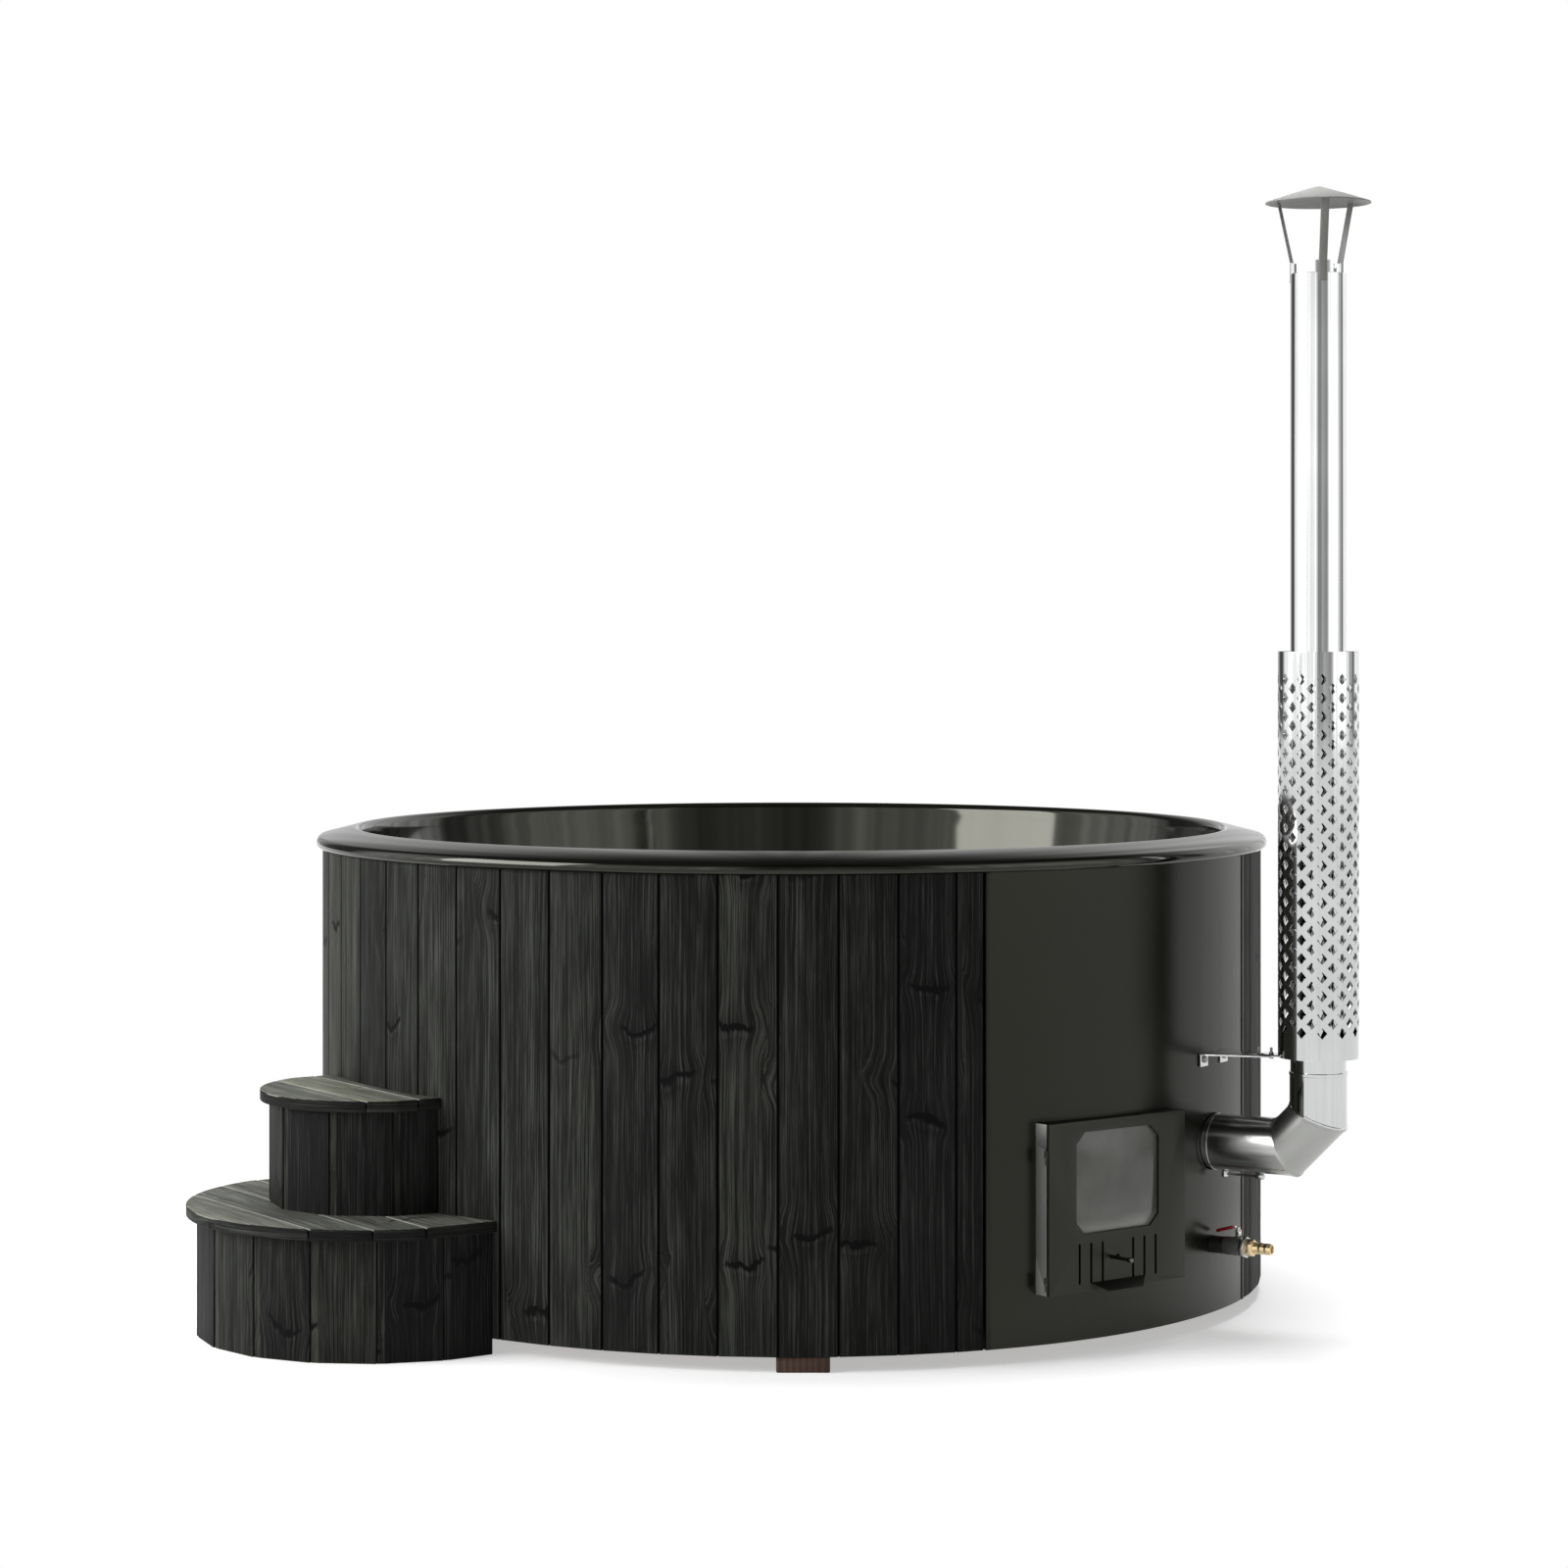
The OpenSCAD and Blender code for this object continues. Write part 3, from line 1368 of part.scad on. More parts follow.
base_skids();
floor_joists();
floor_deck();
middle_hoop();
top_hoop();
wall_studs();
foam_insulation();
liner();
cladding(0);  // cladding_right
cladding(1);  // cladding_rear
cladding(2);  // cladding_left
cladding(3);  // cladding_front
panel_battens();
cover_panel();
panel_trims();
heater_jacket();
firebox();
heater_front();
smoke_baffle();
fire_grate();
ash_pan();
door_frame();
hinge_pins();
water_pipes();
water_grilles();
flue_stub();
flue_elbow();
chimney_pipe();
heat_guard();
guard_spacers();
bracket_arm();
bracket_ring();
bracket_bolts();
cap_straps();
rain_cap();
drain_pipe();
drain_strainer();
valve_body();
valve_nut();
stem_gland();
hose_tail();
lower_step_wall();
lower_step_frame();
lower_tread();
upper_step_wall();
upper_step_frame();
upper_tread();
door_plate();
door_glass();
glass_clips();
door_gasket();
slider_rails();
pull_lip();
air_slider();
knob_tip();
valve_ball();
valve_lever();
lever_grip();
damper_plate();
damper_handle();
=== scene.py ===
# %% [markdown]
# # A black wooden hot tub
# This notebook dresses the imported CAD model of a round, wood-fired hot tub. The CAD
# nodes give every piece its exact place. Here they get their real finishes, and the
# pieces that need rounded edges or a mirror-smooth surface are modelled again on top.

# %% Load the frame
import json
import math
import random

import bmesh
import bpy
from mathutils import Matrix, Vector


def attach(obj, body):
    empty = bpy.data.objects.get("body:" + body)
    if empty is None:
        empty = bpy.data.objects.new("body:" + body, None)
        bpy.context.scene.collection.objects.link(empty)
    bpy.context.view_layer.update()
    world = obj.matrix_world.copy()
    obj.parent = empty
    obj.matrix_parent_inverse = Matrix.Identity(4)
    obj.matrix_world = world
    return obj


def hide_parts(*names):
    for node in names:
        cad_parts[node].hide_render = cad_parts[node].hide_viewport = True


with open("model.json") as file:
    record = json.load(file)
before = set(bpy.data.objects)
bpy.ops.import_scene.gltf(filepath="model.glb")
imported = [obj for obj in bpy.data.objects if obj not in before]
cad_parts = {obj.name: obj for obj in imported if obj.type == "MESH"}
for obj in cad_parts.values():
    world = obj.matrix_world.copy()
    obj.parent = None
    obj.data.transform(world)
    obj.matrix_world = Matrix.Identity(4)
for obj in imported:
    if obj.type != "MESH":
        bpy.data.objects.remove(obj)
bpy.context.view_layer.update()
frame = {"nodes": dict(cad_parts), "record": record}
slot_of = {part["node"]: part["material_slot"] for part in frame["record"]["subparts"]}
body_of = {node: body for body, nodes in frame["record"]["behaviour"]["bodies"].items() for node in nodes}

# %% [markdown]
# ## The camera
# The picture of the tub was taken from standing height with the lens held level. A tilted
# camera would make the chimney lean, so the view is moved down with the lens shift
# instead. A long lens from almost nine metres keeps the ellipse of the rim narrow.

# %% Camera
bpy.context.scene.view_settings.view_transform = "Standard"
eye_aside, eye_distance, eye_height = -0.0175, 8.8495, 1.5647
lens = bpy.data.cameras.new("camera")
lens.sensor_width = 36
lens.lens = 86.03
lens.shift_y = -0.1065
camera = bpy.data.objects.new("camera", lens)
camera.location = (eye_aside, -eye_distance, eye_height)
camera.rotation_euler = (math.radians(90), 0, 0)
bpy.context.scene.collection.objects.link(camera)
bpy.context.scene.camera = camera
print("camera at", tuple(round(v, 3) for v in camera.location))

# %% [markdown]
# ## Helpers for materials
# A colour picked on a screen is stored in sRGB, but a shader counts light, so each hex
# colour is turned to linear values first. One small function adds a node with all of its
# settings and links, and every recipe below is a chain of such calls. Patterns are mixed
# by taking a share of each and adding them up.


# %% Colour and node helpers
def linear(code):
    """The linear colour of an sRGB hex code such as #808080."""
    parts = [int(code[i : i + 2], 16) / 255 for i in (1, 3, 5)]
    return [c / 12.92 if c <= 0.04045 else ((c + 0.055) / 1.055) ** 2.4 for c in parts] + [1]


def add_node(tree, kind, inputs=(), **settings):
    """Adds a node; its inputs are values or sockets, in the node's order or by name."""
    node = tree.nodes.new("ShaderNode" + kind)
    for name, value in settings.items():
        setattr(node, name, value)
    for name, value in inputs.items() if isinstance(inputs, dict) else enumerate(inputs):
        if isinstance(value, bpy.types.NodeSocket):
            tree.links.new(value, node.inputs[name])
        else:
            node.inputs[name].default_value = value
    return node


def new_finish(name, colour="#808080", **values):
    """A material with one Principled shader whose sockets are set from values."""
    finish = bpy.data.materials.new(name)
    finish.use_nodes = True
    shader = finish.node_tree.nodes["Principled BSDF"]
    shader.inputs["Base Color"].default_value = linear(colour)
    for socket, value in values.items():
        shader.inputs[socket.replace("_", " ")].default_value = value
    return finish, finish.node_tree, shader


def added_up(tree, start, *shares):
    """A start value plus each pattern times its share."""
    for pattern, share in shares:
        start = add_node(tree, "Math", (pattern, share, start), operation="MULTIPLY_ADD").outputs[0]
    return start


def overlap(tree, first, *others):
    """The product of patterns: full only where all of them are full."""
    for other in others:
        first = add_node(tree, "Math", (first, other), operation="MULTIPLY").outputs[0]
    return first


def feed(tree, shader, sockets):
    """Links sockets into the shader's inputs, by name."""
    for name, socket in sockets.items():
        tree.links.new(socket, shader.inputs[name])


# A Map Range node with these settings runs softly from one end to the other
softly = {"interpolation_type": "SMOOTHSTEP"}

# %% [markdown]
# ## Studio floor
# The tub stands on a white floor that runs into a white wall without a line. More light
# would burn out the wood, so the floor adds some white of its own where the camera or a
# mirror looks at it. It keeps the soft shadow under the tub, and away from the tub it
# fades to the wall's white.

# %% Floor
floor_r, own_glow, fade_start, fade_end = 40, 0.45, 1.15, 2.35
floor_mesh = bpy.data.meshes.new("floor")
bm = bmesh.new()
bmesh.ops.create_circle(bm, cap_ends=True, segments=96, radius=floor_r)
bm.to_mesh(floor_mesh)
bm.free()
floor = bpy.data.objects.new("floor", floor_mesh)
bpy.context.scene.collection.objects.link(floor)
floor_finish, tree, shader = new_finish("white studio floor", "#f2f2f2", Roughness=0.9)
path = add_node(tree, "LightPath")
looked_at = add_node(
    tree, "Math", (path.outputs["Is Camera Ray"], path.outputs["Is Glossy Ray"]), operation="MAXIMUM"
).outputs[0]
shader.inputs["Emission Color"].default_value = (1, 1, 1, 1)
own_white = add_node(tree, "Math", (looked_at, own_glow), operation="MULTIPLY").outputs[0]
feed(tree, shader, {"Emission Strength": own_white})
place = add_node(tree, "TexCoord").outputs["Object"]
away = add_node(tree, "VectorMath", (place,), operation="LENGTH").outputs["Value"]
far = add_node(tree, "MapRange", (away, fade_start, fade_end, 0, 1), **softly).outputs[0]
wall_white = add_node(tree, "Emission", {"Color": (1, 1, 1, 1), "Strength": 1.0}).outputs[0]
joined = add_node(tree, "MixShader", (overlap(tree, far, looked_at), shader.outputs[0], wall_white))
tree.links.new(joined.outputs[0], tree.nodes["Material Output"].inputs["Surface"])
floor_mesh.materials.append(floor_finish)
print("floor fades to white from", fade_start, "to", fade_end, "m")

# %% [markdown]
# ## The room
# Three things look into the room, and each gets its own answer. The camera and the glass
# see plain white. Rough surfaces get a weak even light. Polished steel and gelcoat need
# something to mirror, or they look like grey paint, so they see white walls with dark
# screens and gaps between them, brightest near the floor.

# %% World
world = bpy.data.worlds.new("white studio")
bpy.context.scene.world = world
world.use_nodes = True
tree = world.node_tree
light = tree.nodes["Background"]
light.inputs["Color"].default_value = (1, 1, 1, 1)
light.inputs["Strength"].default_value = 0.1
seen = add_node(tree, "Background", {"Color": (1, 1, 1, 1), "Strength": 1.0}).outputs[0]
path = add_node(tree, "LightPath")
shown = add_node(
    tree, "Math", (path.outputs["Is Camera Ray"], path.outputs["Is Transmission Ray"]), operation="MAXIMUM"
).outputs[0]
# Each stop is a direction in degrees, from +X round by +Y, and the grey of the wall there
room = add_node(tree, "TexCoord").outputs["Generated"]
way = add_node(tree, "SeparateXYZ", (room,))
turn = add_node(tree, "Math", (way.outputs["Y"], way.outputs["X"]), operation="ARCTAN2").outputs[0]
share = added_up(tree, 0.5, (turn, 1 / (2 * math.pi)))
walls = add_node(tree, "ValToRGB", (share,))
stops = [
    (-180, 0.64), (-150, 0.6), (-136, 0.9), (-128, 0.64), (-114, 0.8), (-104, 0.8), (-101, 0.22), (-88, 0.18),
    (-80, 0.28), (-66, 0.2), (-58, 0.3), (-51, 0.9), (-24, 1.0), (-6, 0.8), (0, 0.34), (12, 0.3), (15, 0.12),
    (24, 0.12), (28, 0.7), (60, 0.6), (84, 0.4), (108, 0.3), (122, 0.05), (140, 0.04), (148, 0.5), (156, 0.7),
]
elements = walls.color_ramp.elements
for i, (angle, grey) in enumerate(stops):
    stop = elements[0] if i == 0 else elements.new((angle + 180) / 360)
    stop.position, stop.color = (angle + 180) / 360, (grey, grey, grey, 1)
# Narrow streaks break up the wide bands, as window bars and door posts would
streaks = add_node(
    tree, "TexNoise", {"W": share, "Scale": 70.0, "Detail": 3.0, "Roughness": 0.7}, noise_dimensions="1D"
).outputs["Fac"]
uneven = add_node(tree, "MapRange", (streaks, 0.3, 0.7, 0.62, 1.38)).outputs[0]
upward = add_node(tree, "MapRange", (way.outputs["Z"], 0.35, 0.75, 1.9, 0.12), **softly).outputs[0]
strength = overlap(tree, upward, uneven)
mirrored = add_node(tree, "Background", {"Color": walls.outputs["Color"], "Strength": strength}).outputs[0]
glossy = add_node(tree, "MixShader", (path.outputs["Is Glossy Ray"], light.outputs[0], mirrored)).outputs[0]
mixed = add_node(tree, "MixShader", (shown, glossy, seen)).outputs[0]
tree.links.new(mixed, tree.nodes["World Output"].inputs["Surface"])
print("room directions:", len(stops))


# %% [markdown]
# ## Lamps
# The left side of the tub is lit and the right side falls into shade, so the main lamp is
# a large square on the left. A broad lamp above lights the treads and the rim, and a weak
# one on the right keeps the stove door from going black. Only the main lamp may show as a
# highlight in polished pieces.


# %% Lamps
def soft_light(name, place, target, width, height, power, mirrored=True):
    """A large rectangular lamp that faces a target point; mirrored shows it in polished pieces."""
    data = bpy.data.lights.new(name, "AREA")
    data.shape, data.size, data.size_y, data.energy = "RECTANGLE", width, height, power
    lamp = bpy.data.objects.new(name, data)
    lamp.location = place
    lamp.rotation_euler = (Vector(target) - Vector(place)).to_track_quat("-Z", "Y").to_euler()
    lamp.visible_glossy = mirrored
    bpy.context.scene.collection.objects.link(lamp)
    return lamp


soft_light("key light", (-6.6, -2.6, 3.6), (0, 0, 0.7), 4.5, 4.5, 560)
soft_light("fill light", (5.5, -5.0, 3.0), (0.6, 0, 0.8), 1.2, 4.0, 8, False)
soft_light("top light", (0.0, 1.2, 6.0), (0, 0, 0.8), 5.0, 4.0, 520, False)

# %% [markdown]
# ## Black-stained spruce
# The wall and the steps are planed spruce under a thin black stain, so the year rings,
# resin streaks and knots still show as darker and lighter greys. A picture of wood would
# repeat from board to board, so the grain is drawn by rules instead. Each board carries
# its own grain map: u runs across the board and v along it, both in metres, and a tone
# number makes every board a little different.


# %% Stained spruce
def set_stops(ramp, stops):
    """Gives a colour ramp its stops, in rising order, as pairs of a place and a hex colour."""
    elements = ramp.color_ramp.elements
    for element, (place, code) in zip(list(elements), (stops[0], stops[-1])):
        element.position, element.color = place, linear(code)
    for place, code in stops[1:-1]:
        elements.new(place).color = linear(code)


def stained_spruce(name, dark, middle, pale, knots=1.0):
    """Spruce under black stain, drawn on the boards' own grain map."""
    # Cells a metre, with about one knot each, and how far a tone number shifts the grain
    cells_across, cells_along, shift_across, shift_along = 8.0, 2.4, 9.7, 23.1
    finish, tree, shader = new_finish(name, Roughness=0.5, Specular_IOR_Level=0.07)
    chart = add_node(tree, "UVMap", uv_map="grain").outputs["UV"]
    own = add_node(tree, "Attribute", attribute_name="tone").outputs["Fac"]
    axes = add_node(tree, "SeparateXYZ", (chart,))
    across = added_up(tree, axes.outputs["X"], (own, shift_across))
    along = added_up(tree, axes.outputs["Y"], (own, shift_along))

    def on_board(u, scale_across, scale_along):
        """The place on the board, stretched to a pattern's own scale."""
        spot = add_node(tree, "CombineXYZ", (u, along)).outputs[0]
        scale = (scale_across, scale_along, 0)
        return add_node(tree, "VectorMath", (spot, scale), operation="MULTIPLY").outputs[0]

    def streaks(u, waves_across, waves_along, detail=2.0, rough=0.5):
        """Uneven streaks with this many waves a metre across the board and along it."""
        values = {"Vector": on_board(u, waves_across, waves_along), "Scale": 1.0, "Detail": detail,
                  "Roughness": rough}
        return add_node(tree, "TexNoise", values).outputs["Fac"]

    # Spike knots: two wings that rise from one point of the board
    cell = on_board(across, cells_across, cells_along)
    spots = add_node(
        tree, "TexVoronoi", {"Vector": cell, "Scale": 1.0, "Randomness": 0.8}, voronoi_dimensions="2D"
    )
    apart = add_node(tree, "VectorMath", (cell, spots.outputs["Position"]), operation="SUBTRACT").outputs[0]
    local = add_node(tree, "SeparateXYZ", (apart,))
    aside = overlap(tree, local.outputs["X"], 1 / cells_across)
    side = add_node(tree, "Math", (aside,), operation="ABSOLUTE").outputs[0]

    # Each knot has its own slope, lean and strength
    lot = add_node(tree, "SeparateColor", (spots.outputs["Color"],))
    slope = add_node(tree, "MapRange", (lot.outputs["Green"], 0.0, 1.0, 0.75, -0.15)).outputs[0]
    lean = add_node(tree, "MapRange", (lot.outputs["Blue"], 0.0, 1.0, -0.35, 0.35)).outputs[0]
    kept = add_node(tree, "MapRange", (lot.outputs["Red"], 0.45, 0.7, 0, knots)).outputs[0]
    rise = added_up(
        tree, overlap(tree, aside, lean), (local.outputs["Y"], 1 / cells_along),
        (overlap(tree, side, slope), -1.0), (streaks(across, 30.0, 16.0), 0.05),
        (streaks(across, 150.0, 60.0, 3.0), 0.012),
    )
    away = add_node(tree, "Math", (rise, 0.031), operation="SUBTRACT").outputs[0]
    near = add_node(tree, "Math", (away,), operation="ABSOLUTE").outputs[0]
    below = add_node(tree, "Math", (away, 0.014), operation="ADD").outputs[0]
    below = add_node(tree, "Math", (below,), operation="ABSOLUTE").outputs[0]
    wing = add_node(tree, "MapRange", (side, 0.018, 0.05, 1, 0), **softly).outputs[0]
    wing = overlap(tree, wing, kept)
    mark = add_node(tree, "MapRange", (near, 0.001, 0.0085, 1, 0), **softly).outputs[0]
    mark = overlap(tree, mark, wing)
    # Painted highlight: a thin pale line just below each wing, where a raised knot would catch the light
    painted_knot_highlight = add_node(tree, "MapRange", (below, 0.001, 0.009, 1, 0), **softly).outputs[0]
    painted_knot_highlight = overlap(tree, painted_knot_highlight, wing)

    # Year rings, about 4 mm apart, wander a little and are drawn in towards a knot
    pull = add_node(tree, "MapRange", (near, 0.0, 0.07, 1, 0), **softly).outputs[0]
    pull = overlap(tree, pull, aside, kept)
    ring = added_up(tree, across, (streaks(across, 6.0, 0.9), 0.03), (pull, -0.25))
    rings = streaks(ring, 230.0, 1.1, 3.0, 0.7)
    fibres = streaks(ring, 430.0, 6.0, 3.0, 0.7)
    bands = streaks(ring, 30.0, 0.7, 2.0, 0.55)
    cloud = streaks(across, 22.0, 5.0, 3.0, 0.6)
    # Cracks and resin are where one more pattern is strongest
    cracks = add_node(tree, "MapRange", (streaks(ring, 210.0, 2.4), 0.66, 0.72, 0, 1), **softly).outputs[0]
    resin = streaks(ring, 90.0, 0.4, 1.0, 0.4)
    resin = add_node(tree, "MapRange", (resin, 0.6, 0.7, 0, 1), **softly).outputs[0]
    # The stain is darker round a knot, most of all between the rings
    dark_high = add_node(tree, "MapRange", (near, 0.0, 0.05, 1, 0), **softly).outputs[0]
    dark_wide = add_node(tree, "MapRange", (side, 0.0, 0.06, 1, 0), **softly).outputs[0]
    between = add_node(tree, "MapRange", (rings, 0.4, 0.6, 1, 0.2)).outputs[0]
    smudge = overlap(tree, dark_high, dark_wide, kept, between)

    # All of it adds up to one shade of grey, and a board's tone number darkens the sum. On
    # groove faces the number also carries painted shade, on slanted step edges painted highlight
    shade = added_up(
        tree, -0.305, (own, -0.2), (bands, 0.24), (rings, 0.7), (fibres, 0.7), (cloud, 0.24),
        (resin, 0.07), (cracks, -0.2), (smudge, -0.12), (mark, -0.6), (painted_knot_highlight, 0.07),
    )
    ramp = add_node(tree, "ValToRGB", (shade,))
    set_stops(ramp, [(0.32, dark), (0.54, middle), (0.8, pale)])
    # Low tone numbers lean to green and high ones to blue
    hue = add_node(tree, "ValToRGB", (own,))
    hue.color_ramp.elements[0].color = (1.0, 1.0, 0.86, 1)
    hue.color_ramp.elements[1].color = (0.94, 0.96, 1.0, 1)
    colours = {"Factor": 1.0, 6: ramp.outputs["Color"], 7: hue.outputs["Color"]}
    tinted = add_node(tree, "Mix", colours, data_type="RGBA", blend_type="MULTIPLY").outputs[2]
    height = added_up(tree, rings, (fibres, 0.6), (mark, -1.0), (cracks, -0.5))
    relief = add_node(tree, "Bump", {"Height": height, "Strength": 0.7, "Distance": 0.001}).outputs[0]
    gloss = add_node(tree, "MapRange", (rings, 0.3, 0.7, 0.5, 0.68)).outputs[0]
    feed(tree, shader, {"Base Color": tinted, "Roughness": gloss, "Normal": relief})
    return finish


# Planed and stained by brush: the wood is nearly black and hardly shines
wall_spruce = stained_spruce("black-stained spruce", "#030303", "#181918", "#474948")
step_spruce = stained_spruce("black-stained step spruce", "#030303", "#171817", "#454745", 0.8)
# Painted light: the tops of the planks are drawn paler, as if lit from above, and the corners
# along the seams paler still, as painted highlights
top_lit_spruce = stained_spruce("step spruce with painted top light", "#151514", "#595a56", "#989a94", 0.5)
highlight_edge_spruce = stained_spruce("plank edge with painted highlight", "#4c4d49", "#868782", "#b4b5af", 0.0)
print("wood:", [finish.name for finish in (wall_spruce, step_spruce, top_lit_spruce, highlight_edge_spruce)])

# %% [markdown]
# ## The other finishes
# Most of them share two recipes: a coated surface with a fine bumpy grain, and a bare
# metal with brushing lines. Both vary a little in colour and gloss from place to place,
# because an even value looks like plastic on screen. Timber has plain rings. The stove
# glass is drawn as a film of ash on a dark pane, since nothing shows through it.


# %% Coated and metal recipes
def coated(name, colour, rough, grain=400.0, bump=0.0001, coat=0.0, vary=0.08, level=0.5):
    """Paint, plastic or resin with slightly uneven gloss; grain is in waves a metre.

    Real paint has a grain of well under a millimetre. It would not show from this far, so
    it is drawn at a millimetre or more."""
    finish, tree, shader = new_finish(
        name, colour, Roughness=rough, Coat_Weight=coat, Specular_IOR_Level=level
    )
    place = add_node(tree, "TexCoord").outputs["Object"]
    fine = add_node(tree, "TexNoise", {"Vector": place, "Scale": grain, "Detail": 2.0}).outputs["Fac"]
    wide = add_node(tree, "TexNoise", {"Vector": place, "Scale": 7.0, "Detail": 3.0}).outputs["Fac"]
    gloss = (wide, 0.3, 0.7, rough * (1 - vary), rough * (1 + 2 * vary))
    base = Vector(linear(colour)[:3])
    tones = {"Factor": wide, 6: [*(base * (1 - vary)), 1], 7: [*(base * (1 + vary)), 1]}
    feed(tree, shader, {
        "Base Color": add_node(tree, "Mix", tones, data_type="RGBA").outputs[2],
        "Roughness": add_node(tree, "MapRange", gloss).outputs[0],
        "Normal": add_node(tree, "Bump", {"Height": fine, "Strength": 0.3, "Distance": bump}).outputs[0],
    })
    return finish


def metal(name, colour, rough, brushed=(1, 1, 1), bump=0.00005, vary=0.1, scale=260.0):
    """Bare metal; brushed stretches the fine lines along the axis with the small number.

    The lines are drawn four to eight millimetres apart, since real ones would not show."""
    finish, tree, shader = new_finish(name, colour, Roughness=rough, Metallic=1.0)
    place = add_node(tree, "TexCoord").outputs["Object"]
    stretch = add_node(tree, "Mapping", {"Vector": place, "Scale": brushed}).outputs[0]
    values = {"Vector": stretch, "Scale": scale, "Detail": 3.0, "Roughness": 0.6}
    lines = add_node(tree, "TexNoise", values).outputs["Fac"]
    wide = add_node(tree, "TexNoise", {"Vector": place, "Scale": 6.0, "Detail": 3.0}).outputs["Fac"]
    both = added_up(tree, 0.0, (wide, 0.5), (lines, 0.5))
    gloss = (both, 0.3, 0.7, rough * (1 - vary), rough * (1 + vary))
    base = Vector(linear(colour)[:3])
    tones = {"Factor": both, 6: [*(base * (1 - vary)), 1], 7: [*(base * (1 + vary / 2)), 1]}
    feed(tree, shader, {
        "Base Color": add_node(tree, "Mix", tones, data_type="RGBA").outputs[2],
        "Roughness": add_node(tree, "MapRange", gloss).outputs[0],
        "Normal": add_node(tree, "Bump", {"Height": lines, "Strength": 0.2, "Distance": bump}).outputs[0],
    })
    return finish


# %% Timber and stove glass recipes
def timber(name, dark, pale, rough=0.75):
    """Sawn wood for the frame and the skids, with rings along the object's own axes."""
    finish, tree, shader = new_finish(name, Roughness=rough)
    place = add_node(tree, "TexCoord").outputs["Object"]
    long_rings = add_node(tree, "Mapping", {"Vector": place, "Scale": (1, 1, 0.08)}).outputs[0]
    long_fibres = add_node(tree, "Mapping", {"Vector": place, "Scale": (1, 1, 0.05)}).outputs[0]
    values = {"Vector": long_rings, "Scale": 22.0, "Distortion": 5.0, "Detail": 3.0, "Detail Scale": 0.6}
    wave = add_node(tree, "TexWave", values).outputs["Fac"]
    fine = add_node(tree, "TexNoise", {"Vector": long_fibres, "Scale": 180.0, "Detail": 3.0}).outputs["Fac"]
    both = added_up(tree, 0.0, (fine, 0.5), (wave, 0.5))
    ramp = add_node(tree, "ValToRGB", (both,))
    set_stops(ramp, [(0.15, dark), (0.85, pale)])
    relief = add_node(tree, "Bump", {"Height": both, "Strength": 0.4, "Distance": 0.0005}).outputs[0]
    feed(tree, shader, {"Base Color": ramp.outputs["Color"], "Normal": relief})
    return finish


def stove_glass():
    """Heat-proof glass with a thin film of ash, drawn paler along its lower edge."""
    finish, tree, shader = new_finish("stove glass", "#4f504e", Roughness=0.16)
    place = add_node(tree, "TexCoord").outputs["Object"]
    height = add_node(tree, "SeparateXYZ", (place,)).outputs["Z"]
    film = add_node(tree, "TexNoise", {"Vector": place, "Scale": 9.0, "Detail": 4.0}).outputs["Fac"]
    pale_low_edge = added_up(tree, height, (film, 0.03))
    low = add_node(tree, "MapRange", (pale_low_edge, 0.275, 0.31, 1, 0), **softly).outputs[0]
    ramp = add_node(tree, "ValToRGB", (added_up(tree, 0.0, (film, 0.35), (low, 0.5)),))
    set_stops(ramp, [(0.1, "#51534c"), (0.75, "#9a9c94")])
    gloss = add_node(tree, "MapRange", (film, 0.3, 0.7, 0.12, 0.26)).outputs[0]
    feed(tree, shader, {"Base Color": ramp.outputs["Color"], "Roughness": gloss})
    return finish


